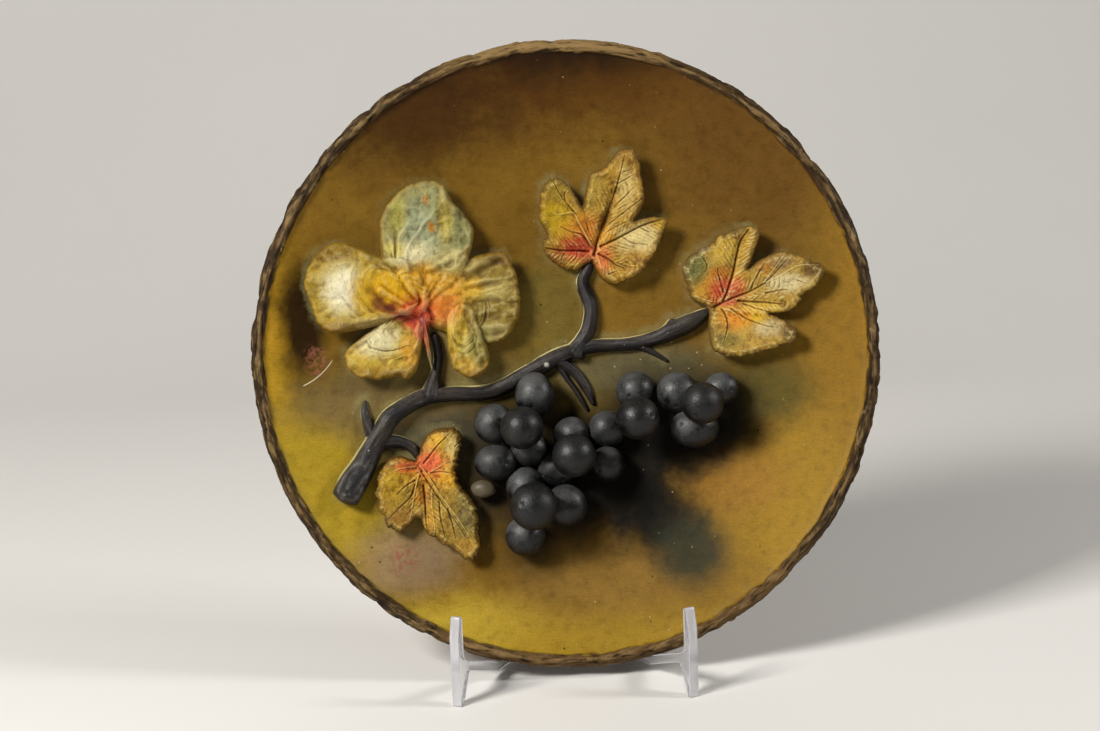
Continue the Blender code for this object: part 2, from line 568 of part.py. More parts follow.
def leg_outline(centre):
    """Side view of a leg: x runs back from the front foot, y is height over the table."""
    splay = math.radians(EASEL_SPLAY)
    edge_ahead = LEG_THICKNESS / 2 * math.sin(splay)
    rest_x = EASEL_SPREAD / 2 - (FRONT_REACH + RIM_THICKNESS) * math.tan(splay) - LEG_THICKNESS
    drop = math.sqrt(DISH_RADIUS ** 2 - rest_x ** 2)
    rim_back = dish_to_table((rest_x, -drop, -RIM_THICKNESS), centre)
    rest_along = (rim_back.y + FRONT_REACH) / math.cos(splay)
    slope = math.tan(math.radians(EASEL_SEAT)) * math.cos(splay)
    ledge_rest = rim_back.z - CLEARANCE

    def ledge(along):
        return ledge_rest + (rest_along - along) * slope

    ring_bottom = dish_to_table((0.0, -FOOT_RING_RADIUS, DISH_BACK - CLEARANCE), centre)
    touch_along = (ring_bottom.y + FRONT_REACH + edge_ahead) / math.cos(splay)
    top_along = touch_along + MAST_OVERRUN * math.tan(math.radians(DISH_LEAN)) / math.cos(splay)
    mast_top = ring_bottom.z + MAST_OVERRUN
    mast_slope = (touch_along - SADDLE_END) / (ring_bottom.z - ledge(SADDLE_END))
    web_top = TAIL_HEIGHT + WEB_RISE
    web = SADDLE_END + mast_slope * (web_top - ledge(SADDLE_END)) + MAST_ROOT
    arm_end = rest_along + (ledge_rest - LEDGE_DEPTH - ARCH_HEIGHT) / slope
    lean_in = math.tan(math.radians(PRONG_LEAN)) * (PRONG_HEIGHT - PRONG_BEND)
    return rounded((
        (0.0, 0.0, 0.0),
        (FRONT_FOOT, 0.0, 0.0),
        (ARM_ROOT, ledge(ARM_ROOT) - LEDGE_DEPTH, CORNER_RADIUS),
        (arm_end, ARCH_HEIGHT, INNER_RADIUS),
        (LEG_LENGTH - REAR_FOOT - ARCH_HEIGHT, ARCH_HEIGHT, CORNER_RADIUS),
        (LEG_LENGTH - REAR_FOOT, 0.0, 0.0),
        (LEG_LENGTH, 0.0, 0.0),
        (LEG_LENGTH, TAIL_HEIGHT, 2 * CORNER_RADIUS),
        (web, web_top, 2 * INNER_RADIUS),
        (top_along + MAST_WIDTH, mast_top, 0.4 * MAST_WIDTH),
        (top_along, mast_top, 0.3 * MAST_WIDTH),
        (touch_along, ring_bottom.z, 0.0),
        (SADDLE_END, ledge(SADDLE_END), 0.5 * INNER_RADIUS),
        (PRONG_DEPTH, ledge(PRONG_DEPTH), INNER_RADIUS),
        (PRONG_DEPTH, PRONG_BEND, 0.0),
        (PRONG_DEPTH, PRONG_HEIGHT, 0.3 * PRONG_DEPTH),
        (lean_in, PRONG_HEIGHT, 0.2 * PRONG_DEPTH),
        (0.0, PRONG_BEND, 0.0)))


def slab(name, size, matrix, group):
    bm = bmesh.new()
    bmesh.ops.create_cube(bm, size=1.0, matrix=matrix @ Matrix.Diagonal((*size, 1.0)))
    return add_object(name, mesh_from(bm, name), group)


def make_leg(name, side, outline, group, frame, finish):
    """One flat leg: its own x runs back along it, its own y is up. side is -1 for the left one."""
    curve = bpy.data.curves.new(name, "CURVE")
    curve.dimensions = "2D"
    curve.fill_mode = "BOTH"
    curve.extrude = LEG_THICKNESS / 2
    spline = curve.splines.new("POLY")
    spline.points.add(len(outline) - 1)
    for point, corner in zip(spline.points, outline):
        point.co = (corner.x, corner.y, 0.0, 1.0)
    spline.use_cyclic_u = True
    drawn = add_object(name + "_outline", curve, group)
    mesh = applied(drawn)
    bpy.data.objects.remove(drawn, do_unlink=True)
    bm = bmesh.new()
    bm.from_mesh(mesh)
    bmesh.ops.remove_doubles(bm, verts=bm.verts, dist=WELD)
    leg = add_object(name, mesh_from(bm, name), group, frame)
    leg.location = (EASEL_SHIFT + side * EASEL_SPREAD / 2, -FRONT_REACH, 0.0)
    leg.rotation_euler = (math.radians(90), 0.0, math.radians(90 + side * EASEL_SPLAY))
    leg.data.materials.clear()
    leg.data.materials.append(finish)
    return leg


def notch(leg, side, group):
    """Half-lap where the legs cross: the left leg is cut from above, the right one from below."""
    splay = math.radians(EASEL_SPLAY)
    crossing = EASEL_SPREAD / 2 / math.tan(splay) - FRONT_REACH
    half = TAIL_HEIGHT * 0.62
    low, high = (half - CLEARANCE / 2, 3 * PRONG_HEIGHT) if side < 0 else (-CORNER_RADIUS, half + CLEARANCE / 2)
    middle = Matrix.Translation((EASEL_SHIFT, crossing, (low + high) / 2))
    turn = Matrix.Rotation(-side * splay, 4, "Z")
    size = (LEG_THICKNESS + 2 * CLEARANCE, 8 * LEG_THICKNESS, high - low)
    cutter = slab("notch", size, middle @ turn, group)
    cutter.parent = leg.parent
    boolean(leg, "DIFFERENCE", cutter)


def set_on_origin(root, parts):
    """Moves the whole so that the middle of its lowest face is at the origin."""
    bpy.context.view_layer.update()
    corners = np.array([part.matrix_world @ vertex.co for part in parts for vertex in part.data.vertices])
    low = corners.min(axis=0)
    high = corners.max(axis=0)
    root.location = (-(low[0] + high[0]) / 2, -(low[1] + high[1]) / 2, -low[2])
    bpy.context.view_layer.update()


def main():
    clear_scene()
    parts = collection("wall_dish_on_easel")
    guides = collection("guides")
    root = add_object("table_frame", None, guides)
    frame = add_object("dish_frame", None, guides, root)
    radius_drop = DISH_RADIUS * math.cos(math.radians(DISH_LEAN))
    radius_back = DISH_RADIUS * math.sin(math.radians(DISH_LEAN))
    centre = Vector((0.0, radius_back, DISH_LIFT + radius_drop))
    frame.location = centre
    frame.rotation_euler.x = math.radians(90 - DISH_LEAN)

    ochre = material("painted_clay_ochre", (0.155, 0.098, 0.020), 0.42)
    bark = material("painted_clay_bark", (0.022, 0.020, 0.021), 0.48)
    leaf_gold = material("painted_clay_leaf", (0.42, 0.26, 0.045), 0.45)
    petal_cream = material("painted_clay_petal", (0.56, 0.44, 0.13), 0.45)
    grape_slate = material("painted_clay_grape", (0.045, 0.047, 0.054), 0.34)
    acrylic = material("clear_acrylic", (0.92, 0.94, 0.95), 0.06, alpha=0.25)

    made = [make_dish(parts, frame, ochre),
            make_branch(parts, frame, bark),
            make_leaf("leaf_upper", UPPER_LEAF, UPPER_TWIG, parts, frame, leaf_gold),
            make_leaf("leaf_right", RIGHT_LEAF, STEM_ROUTE, parts, frame, leaf_gold),
            make_leaf("leaf_lower", LOWER_LEAF, LOWER_TWIG, parts, frame, leaf_gold),
            make_pansy(parts, frame, petal_cream)]
    made += make_grapes(parts, frame, grape_slate)
    outline = leg_outline(centre)
    for name, side in (("stand_leg_left", -1), ("stand_leg_right", 1)):
        leg = make_leg(name, side, outline, parts, root, acrylic)
        notch(leg, side, parts)
        made.append(leg)
    set_on_origin(root, made)


main()
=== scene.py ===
import itertools
import math

import bmesh
import bpy
import numpy as np
from mathutils import Matrix, Vector


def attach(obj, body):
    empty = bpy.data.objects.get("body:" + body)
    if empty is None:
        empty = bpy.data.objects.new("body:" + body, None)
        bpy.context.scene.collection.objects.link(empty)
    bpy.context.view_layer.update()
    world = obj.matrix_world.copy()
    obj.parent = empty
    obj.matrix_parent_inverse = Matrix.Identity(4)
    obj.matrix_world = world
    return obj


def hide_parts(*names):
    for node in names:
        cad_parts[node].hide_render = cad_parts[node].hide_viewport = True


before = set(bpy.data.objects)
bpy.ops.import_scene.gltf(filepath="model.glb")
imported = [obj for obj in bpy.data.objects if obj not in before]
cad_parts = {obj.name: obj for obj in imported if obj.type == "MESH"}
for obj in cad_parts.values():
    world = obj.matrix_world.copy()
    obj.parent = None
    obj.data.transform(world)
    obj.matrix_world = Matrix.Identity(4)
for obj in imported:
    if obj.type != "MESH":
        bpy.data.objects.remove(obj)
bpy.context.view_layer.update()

# The dish leans back about its middle. Its own frame has x to the right, y up the face and z out of it.
lean = {"degrees": 13.0, "middle": (0.000171, -0.003215, 0.162899)}
leanOver = Matrix.Translation(lean["middle"]) @ Matrix.Rotation(math.radians(90 - lean["degrees"]), 4, "X")
mm = 0.001


# random fields and soft steps, on whole arrays of points

def speckle(points, seed):
    # smooth random numbers from -1 to 1 on a lattice one unit wide
    cell = np.floor(points).astype(np.int64)
    part = points - cell
    part = part * part * (3 - 2 * part)
    total = np.zeros(points.shape[:-1])
    for corner in itertools.product((0, 1), repeat=points.shape[-1]):
        key = np.full(points.shape[:-1], seed * 7919 + 12345, np.uint64)
        share = np.ones(points.shape[:-1])
        for axis, step in enumerate(corner):
            share = share * (part[..., axis] if step else 1 - part[..., axis])
            key = (key ^ (cell[..., axis] + step).astype(np.uint64)) * np.uint64(0x9E3779B97F4A7C15)
            key = key ^ (key >> np.uint64(31))
        total += share * ((key >> np.uint64(40)).astype(float) / 2 ** 23 - 1)
    return total


def lumpy(points, size, seed=0, octaves=2):
    # lumps of about the given size in metres, with finer ones on them
    points = np.asarray(points, float) / size
    layers = [speckle(points * 2 ** n, seed * 13 + n) * 0.5 ** n for n in range(octaves)]
    return sum(layers) / sum(0.5 ** n for n in range(octaves))


def ease(value, low, high):
    t = np.clip((np.asarray(value, float) - low) / (high - low), 0, 1)
    return t * t * (3 - 2 * t)


def bell(away, width, power=2):
    return np.exp(-np.abs(away / width) ** power)


def turned(turn, reach, *heights):
    # points at the given bearings and reaches
    return np.stack((np.cos(turn) * reach, np.sin(turn) * reach, *heights), axis=-1)


def paint(shade):
    # a paint colour from its look on a screen, 0 to 255
    return tuple(((c / 255 + 0.055) / 1.055) ** 2.4 if c > 10 else c / 255 / 12.92 for c in shade)


def palette(spec, names):
    return [paint(spec[name]) for name in names.split()]


def shaded(colour, share):
    # the same paint, darker and warmer
    return tuple(c * share ** power for c, power in zip(colour, (0.8, 1.0, 1.25)))


# skins of points, made into pieces

def shell(rows, **marks):
    # a closed skin over rows of points that run round, with a lid point at each end
    count, around = rows.shape[:2]
    points = np.vstack((rows.reshape(-1, 3), rows[0].mean(axis=0), rows[-1].mean(axis=0)))
    index = np.arange(count * around).reshape(count, around)
    after = np.roll(index, -1, axis=1)
    quads = np.stack((index[:-1], after[:-1], after[1:], index[1:]), axis=-1).reshape(-1, 4)
    first = np.stack((np.full(around, count * around), after[0], index[0]), axis=-1)
    last = np.stack((np.full(around, count * around + 1), index[-1], after[-1]), axis=-1)
    a, b, c, d = (points[quads[:, i]] for i in range(4))
    if (np.cross(a, b) * c).sum() + (np.cross(a, c) * d).sum() < 0:
        quads, first, last = quads[:, ::-1], first[:, ::-1], last[:, ::-1]
    whole = {}
    for name, values in marks.items():
        values = np.broadcast_to(values, rows.shape[:2])
        whole[name] = np.append(values.ravel(), (values[0].mean(), values[-1].mean()))
    return {"points": points, "faces": quads.tolist() + first.tolist() + last.tolist(), "marks": whole}


def piece(name, shells, finish, nodes, pose=leanOver):
    points, faces = [], []
    for part in shells:
        faces += [[i + len(points) for i in face] for face in part["faces"]]
        points += part["points"].tolist()
    mesh = bpy.data.meshes.new(name)
    mesh.from_pydata(points, [], faces)
    for mark in shells[0]["marks"]:
        layer = mesh.attributes.new(mark, "FLOAT", "POINT")
        values = np.concatenate([part["marks"][mark] for part in shells])
        layer.data.foreach_set("value", values.astype(np.float32))
    mesh.shade_smooth()
    mesh.materials.append(finish)
    return setDown(bpy.data.objects.new(name, mesh), nodes, pose)


def setDown(thing, nodes, pose=leanOver):
    bpy.context.scene.collection.objects.link(thing)
    thing.matrix_world = pose
    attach(thing, "root")
    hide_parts(*nodes)
    return thing


# shader maths

class Wire:                                # one socket of a node, ready for sums
    def __init__(self, finish, socket):
        self.finish = finish
        self.socket = socket

    def maths(self, operation, *values):
        return self.finish.node("Math", {"operation": operation}, dict(enumerate(values)))

    def __add__(self, other):
        return self.maths("ADD", self, other)

    def __sub__(self, other):
        return self.maths("SUBTRACT", self, other)

    def __rsub__(self, other):
        return self.maths("SUBTRACT", other, self)

    def __mul__(self, other):
        return self.maths("MULTIPLY", self, other)

    def __abs__(self):
        return self.maths("ABSOLUTE", self)

    __radd__ = __add__
    __rmul__ = __mul__


class Finish:                              # a material in the making
    def __init__(self, name):
        self.material = bpy.data.materials.new(name)
        self.material.use_nodes = True
        self.nodes = self.material.node_tree.nodes
        self.links = self.material.node_tree.links
        self.shader = self.nodes["Principled BSDF"]
        self.colour = None

    def node(self, kind, settings=None, sockets=None, output=0):
        made = self.nodes.new("ShaderNode" + kind)
        for setting, value in (settings or {}).items():
            setattr(made, setting, value)
        for socket, value in (sockets or {}).items():
            self.feed(made.inputs[socket], value)
        return Wire(self, made.outputs[output])

    def feed(self, socket, value):
        if isinstance(value, Wire):
            self.links.new(value.socket, socket)
        elif isinstance(value, tuple) and len(value) == 3 and socket.type == "RGBA":
            socket.default_value = (*value, 1.0)
        else:
            socket.default_value = value

    def set(self, **values):
        for name, value in values.items():
            self.feed(self.shader.inputs[name.replace("_", " ")], value)
        return self.material

    def spot(self, shift=(0.0, 0.0, 0.0), stretch=(1.0, 1.0, 1.0)):
        # the surface's own place in metres, shifted and then stretched
        here = self.node("TexCoord", None, None, "Object")
        moved = self.node("VectorMath", {"operation": "SUBTRACT"}, {0: here, 1: shift})
        return self.node("VectorMath", {"operation": "MULTIPLY"}, {0: moved, 1: stretch})

    def away(self, shift, stretch):
        return self.node("VectorMath", {"operation": "LENGTH"}, {0: self.spot(shift, stretch)}, "Value")

    def mark(self, name):
        return self.node("Attribute", {"attribute_name": name}, None, "Fac")

    def noise(self, size, detail=2.0, seed=0.0, rough=0.5, stretch=(1.0, 1.0, 1.0), where=None):
        where = where or self.spot((seed, 0.37 * seed, 0.0), stretch)
        sockets = {"Vector": where, "Scale": 1 / size, "Detail": detail, "Roughness": rough}
        return self.node("TexNoise", None, sockets)

    def stray(self, *noise):
        # noise about zero
        return self.noise(*noise) - 0.5

    def grains(self, size, seed, low, high):
        # a scatter of small specks
        where = self.spot((seed, 0.53 * seed, 0.0))
        away = self.node("TexVoronoi", None, {"Vector": where, "Scale": 1 / size}, "Distance")
        return self.fade(away, high, low)

    def fade(self, value, low, high, start=0.0, end=1.0):
        # a soft step from start, below low, to end, above high; it falls if low is given the higher number
        return self.node("MapRange", {"interpolation_type": "SMOOTHSTEP"}, {
            "Value": value, "From Min": low, "From Max": high, "To Min": start, "To Max": end})

    def cloud(self, x, y, wide, high, unit, fuzz=0.0):
        # 1 in the middle of a soft patch, 0 outside it; fuzz roughens its border
        away = self.away((x * unit, y * unit, 0.0), (1 / (wide * unit), 1 / (high * unit), 0.0))
        return self.fade(away + fuzz, 1.0, 0.25)

    def tint(self, share, first, second, blend="MIX"):
        settings = {"data_type": "RGBA", "blend_type": blend}
        return self.node("Mix", settings, {0: share, 6: first, 7: second}, 2)

    def coat(self, share, shade, blend="MIX"):
        # one more layer over the colour so far
        self.colour = self.tint(share, self.colour, shade, blend)

    def bump(self, height, distance, strength):
        return self.node("Bump", None, {"Height": height, "Distance": distance, "Strength": strength})


# the dish: a turned coupe with a rolled, bark-like rim

dish = {
    "radius": 0.16, "depth": 0.026, "wall": 0.0075, "curve": 2.2,
    "rimWidth": 0.007, "rimStep": 0.0024, "rimThickness": 0.0088,
    "lumps": 33, "lumpDepth": 0.0015, "strands": 0.0011, "torn": 0.0012,
    "waver": 0.00035, "backGrain": 0.00022,
    "ringRadius": 0.052, "ringWidth": 0.008, "ringHeight": 0.006,
    "holeWidth": 0.003, "holeSpacing": 0.016,
    "around": 600, "faceRows": 58,
}
faceRadius = dish["radius"] - dish["rimWidth"]
dishBack = -(dish["depth"] + dish["wall"] + dish["ringHeight"])


def faceHeight(x, y):
    share = np.minimum(np.hypot(x, y) / faceRadius, 1.0)
    return -dish["depth"] + (dish["depth"] - dish["rimStep"]) * share ** dish["curve"]


def onDish(place):
    return place[0] * dish["radius"], place[1] * dish["radius"]


def seatOf(spec):
    # where a sheet lies on the face: its middle, the height of the face there and its pose
    middle = onDish(spec["place"])
    floor = float(faceHeight(*middle))
    return middle, floor, leanOver @ Matrix.Translation((*middle, floor))


def smoothRoute(points, spacing, loop=False):
    # an evenly spaced curve through the points; columns past the second follow along
    points = np.asarray(points, float)
    if loop:
        knots = np.vstack((points[-1], points, points[0], points[1]))
    else:
        knots = np.vstack((2 * points[0] - points[1], points, 2 * points[-1] - points[-2]))
    fine = []
    for a, b, c, d in zip(knots, knots[1:], knots[2:], knots[3:]):
        for t in np.arange(24) / 24:
            fine.append(0.5 * (2 * b + (c - a) * t + (2 * a - 5 * b + 4 * c - d) * t ** 2
                               + (3 * b - a - 3 * c + d) * t ** 3))
    fine = np.array(fine + [knots[-2]])
    along = np.append(0, np.cumsum(np.hypot(*np.diff(fine[:, :2], axis=0).T)))
    steps = spacing if isinstance(spacing, int) else max(2, round(along[-1] / spacing))
    even = np.linspace(0, along[-1], steps + 1)
    route = np.stack([np.interp(even, along, column) for column in fine.T], axis=-1)
    return route[:-1] if loop else route


# what lies on the face, for the dust and the shade
laidOn = {"outlines": [], "routes": [], "balls": []}


# applied sheets of clay, cut from a fine grid to their outline: the leaves and the pansy
relief = {
    "gap": 0.3 * mm, "thinnest": 0.8 * mm, "lineStep": 0.0012, "wallSteps": (0.66, 0.3),
    "wallRough": 0.16 * mm, "fineBlur": 12, "fineHeight": 0.9 * mm, "broadBlur": 70, "broadHeight": 2.6 * mm,
}


def farFrom(points, line):
    # distance to a broken line, and how far along it the nearest spot is
    best = np.full(len(points), 9.0)
    share = np.zeros(len(points))
    for number, (a, b) in enumerate(zip(line[:-1], line[1:])):
        run = b - a
        t = np.clip(((points - a) @ run) / (run @ run), 0, 1)
        away = np.hypot(*(points - a - t[:, None] * run).T)
        nearer = away < best
        best = np.where(nearer, away, best)
        share = np.where(nearer, (number + t) / (len(line) - 1), share)
    return best, share


def insideBy(points, outlines):
    # depth inside the outlines taken together, negative outside them
    best = np.full(len(points), -0.1)
    for line in outlines:
        close = np.all((points > line.min(axis=0) - 0.002) & (points < line.max(axis=0) + 0.002), axis=1)
        x, y = points[close].T
        inside = np.zeros(len(x), bool)
        closed = np.vstack((line, line[:1]))
        for (x0, y0), (x1, y1) in zip(closed[:-1], closed[1:]):
            if y0 != y1:
                inside ^= ((y0 > y) != (y1 > y)) & (x < (x1 - x0) * (y - y0) / (y1 - y0) + x0)
        off = farFrom(points[close], closed)[0]
        best[close] = np.maximum(best[close], np.where(inside, off, -off))
    return best


def cutGrid(outlines, cell):
    # grid points inside the outlines, the squares between them, and their border pulled onto the outline
    every = np.vstack(outlines)
    low = every.min(axis=0) - 2 * cell
    count = np.ceil((every.max(axis=0) + 2 * cell - low) / cell).astype(int) + 1
    across, along = (low[axis] + cell * np.arange(count[axis]) for axis in (0, 1))
    grid = np.stack(np.meshgrid(across, along, indexing="ij"), axis=-1).reshape(-1, 2)
    depth = insideBy(grid, outlines).reshape(count)
    corners = np.stack((depth[:-1, :-1], depth[1:, :-1], depth[1:, 1:], depth[:-1, 1:]))
    keep = (corners.min(axis=0) > -0.5 * cell) & (corners.mean(axis=0) > 0)
    for _ in range(3):                     # no two squares meet in a corner alone
        a, b, c, d = keep[:-1, :-1], keep[1:, :-1], keep[1:, 1:], keep[:-1, 1:]
        b |= a & c & ~b & ~d
        a |= b & d & ~a & ~c
    index = np.arange(len(grid)).reshape(count)
    quads = np.stack((index[:-1, :-1], index[1:, :-1], index[1:, 1:], index[:-1, 1:]), axis=-1)[keep]
    used, quads = np.unique(quads, return_inverse=True)
    quads = quads.reshape(-1, 4)
    edges = np.concatenate([quads[:, [side, (side + 1) % 4]] for side in range(4)])
    border = edges[~np.isin(edges @ (len(used), 1), edges @ (1, len(used)))]
    flat, rim = grid[used], np.unique(border)
    for _ in range(2):
        here = insideBy(flat[rim], outlines)
        slope = np.stack([(insideBy(flat[rim] + step, outlines) - here) / (0.2 * cell)
                          for step in ((0.2 * cell, 0.0), (0.0, 0.2 * cell))], axis=-1)
        flat[rim] -= slope * (here / np.maximum((slope ** 2).sum(axis=1), 0.3))[:, None]
    outward = -slope / np.maximum(np.hypot(*slope.T), 0.3)[:, None]
    depth = np.maximum(depth.ravel()[used], 0.05 * cell)
    depth[rim] = 0.0
    return flat, depth, quads, edges, border, rim, outward


def slab(outlines, cell, heights):
    # a closed sheet; heights(flat, depth) gives its underside, its top and the marks for the paint
    flat, depth, quads, edges, border, rim, outward = cutGrid(outlines, cell)
    under, top, marks = heights(flat, depth)
    count = len(flat)
    links = np.bincount(edges.ravel(), minlength=count)
    blurs = [top]
    for _ in range(relief["broadBlur"]):   # what stands over its blurred relief gets a painted highlight, the rest painted shade
        soft = blurs[-1]
        spread = sum(np.bincount(edges[:, end], soft[edges[:, 1 - end]], count) for end in (0, 1))
        blurs.append(spread / links)
    fine = (top - blurs[relief["fineBlur"]]) / relief["fineHeight"]
    broad = (top - blurs[relief["broadBlur"]]) / relief["broadHeight"]
    marks["proud"] = np.clip(0.5 + fine + broad, 0, 1)
    points = [np.column_stack((flat, top)), np.column_stack((flat, under))]
    order = np.full(count, -1)
    order[rim] = np.arange(len(rim))
    rows = [np.arange(count)]
    for number, share in enumerate(relief["wallSteps"]):
        rough = relief["wallRough"] * (1 + lumpy(flat[rim], 0.0012, seed=number))
        height = under[rim] + share * (top - under)[rim]
        points.append(np.column_stack((flat[rim] + outward * rough[:, None], height)))
        rows.append(2 * count + number * len(rim) + order)
    rows.append(np.arange(count) + count)
    faces = [quads, quads[:, ::-1] + count]
    a, b = border.T
    for upper, lower in zip(rows, rows[1:]):
        faces.append(np.stack((upper[b], upper[a], lower[a], lower[b]), axis=-1))
    whole = {}
    for name, values in marks.items():
        whole[name] = np.concatenate((values, np.full(count, values.min()), values[rim], values[rim]))
    whole["side"] = np.concatenate((np.zeros(count), np.ones(count + 2 * len(rim))))
    return {"points": np.vstack(points), "faces": np.vstack(faces).tolist(), "marks": whole}


def reachAround(spec):
    # the outline as bearings (from x, degrees), reaches and lifts over the face in metres
    table = np.array(sorted(spec["outline"]), float)
    bearing = (table[:, 0] + spec["heading"]) % 360
    order = np.argsort(bearing)
    return bearing[order], table[order, 1] * spec["length"] * dish["radius"], table[order, 2] * mm


def outlineOf(spec, middle):
    # its closed line on the dish, round the piece's own place
    bearing, reach, _ = reachAround(spec)
    line = smoothRoute(turned(np.radians(bearing), reach), spec["around"], loop=True)
    away = np.maximum(np.hypot(*line.T), 0.004)[:, None]
    seed = spec["seed"]
    teeth = lumpy(line + seed, 0.0042, seed=seed) + 0.7 * lumpy(line + seed, 0.0015, seed=seed + 1)
    return line * (1 + (spec["ragged"] * teeth)[:, None] / away) + np.subtract(onDish(spec["place"]), middle)


def standOff(spec, flat, middle):
    # height of its underside over the face of the dish, its share of the way to the edge, and its bearing
    own = flat - np.subtract(onDish(spec["place"]), middle)
    bearing = np.degrees(np.arctan2(own[:, 1], own[:, 0])) % 360
    at, reach, lift = reachAround(spec)
    share = np.clip(np.hypot(*own.T) / np.interp(bearing, at, reach, period=360), 0, 1.05)
    lift = np.interp(bearing, at, lift, period=360)
    stand = spec["rise"] * (1 - share) + lift * share ** 1.4
    stand += spec["crown"] * np.sin(math.pi * np.minimum(share, 1) ** 0.7)
    stand += spec["curl"] * share ** 2 * lumpy(flat + spec["seed"], 0.014, seed=spec["seed"] + 4)
    return np.maximum(stand, relief["gap"]), share, bearing


def routeOf(line):
    # one of a sheet's lines, its points given in millimetres
    return smoothRoute(np.reshape(line, (-1, 2)) * mm, relief["lineStep"])


def tooled(flat, lines, spread, sharp, lip):
    # ridges and grooves along lines, each a height, a width and points; they thin out to their end
    high, deep = np.zeros(len(flat)), np.zeros(len(flat))
    for height, width, *line in lines:
        off, along = farFrom(flat, routeOf(line))
        width = width * mm * (1 - 0.45 * along)
        tall = abs(height) * mm
        shape = tall * (1 - 0.6 * along ** 2) * bell(off, spread * width, sharp if height < 0 else 2.0)
        if height < 0:
            deep = np.maximum(deep, shape)
            high = np.maximum(high, lip * tall * bell(off - 1.3 * width, 0.6 * width))
        else:
            high = np.maximum(high, shape)
    return high, deep


def rounded(depth, size):
    over = np.clip(1 - depth / size, 0, 1)
    return size * (1 - np.sqrt(1 - over ** 2))


def leafVeins(flat, leaf):
    # fine side veins leaving the stronger ones like a feather's
    mains = [line for height, width, *line in leaf["lines"] if abs(height) >= 1.1]
    found = [farFrom(flat, routeOf(line)) for line in mains]
    away = np.array([off for off, _ in found])
    which = away.argmin(axis=0)
    fine = np.zeros(len(flat))
    for number, (off, along) in enumerate(found):
        length = np.hypot(*np.diff(np.reshape(mains[number], (-1, 2)) * mm, axis=0).T).sum()
        phase = (along * length - 0.95 * off) / (leaf["veinSpacing"] * mm)
        phase += 0.3 * lumpy(flat, 0.006, seed=leaf["seed"] + number)
        close = np.abs(phase - np.round(phase)) * leaf["veinSpacing"]
        cut = bell(close, 0.42, 1.4) * ease(off, 0.0006, 0.0016) * (1 - ease(off, 0.007, 0.011))
        fine = np.where(which == number, cut * (0.6 + 0.6 * lumpy(flat, 0.004, seed=9)), fine)
    return np.maximum(fine, 0), away.min(axis=0)


def makeLeaf(name, leaf, node):
    middle, floor, pose = seatOf(leaf)

    def heights(flat, depth):
        seed = leaf["seed"]
        stand, _, _ = standOff(leaf, flat, middle)
        under = faceHeight(flat[:, 0] + middle[0], flat[:, 1] + middle[1]) - floor + stand
        high, deep = tooled(flat, leaf["lines"], *leaf["tool"])
        fine, nearest = leafVeins(flat, leaf)
        puff = leaf["puff"] * mm * (1 - bell(nearest, 0.0022)) * ease(depth, 0.0, 0.003)
        wave = leaf["wave"] * mm * lumpy(flat, 0.0075, seed=seed + 5)
        coarse, small = lumpy(flat, 0.0021, seed=seed + 8, octaves=3), lumpy(flat, 0.0011, seed=seed + 9)
        crumbs = leaf["crumbs"] * mm * (coarse + 0.6 * np.abs(small))
        carve = high - deep - leaf["veinDepth"] * mm * fine + puff + wave + crumbs
        top = under + leaf["thickness"] + carve * (0.35 + 0.65 * ease(depth, 0, 0.0016))
        top = np.maximum(top - rounded(depth, 0.0012), under + relief["thinnest"])
        return under, top, {"rim": depth, "groove": np.clip(deep / (1.4 * mm) + 0.5 * fine, 0, 1),
                            "vein": np.clip(high / (1.0 * mm), 0, 1)}

    print(name)
    outline = outlineOf(leaf, middle)
    laidOn["outlines"].append(outline + middle)
    sheet = slab([outline], leaf["cell"] * mm, heights)
    return piece(name, [sheet], leafFinish(name + "Paint", leaf["paints"]), [node], pose)


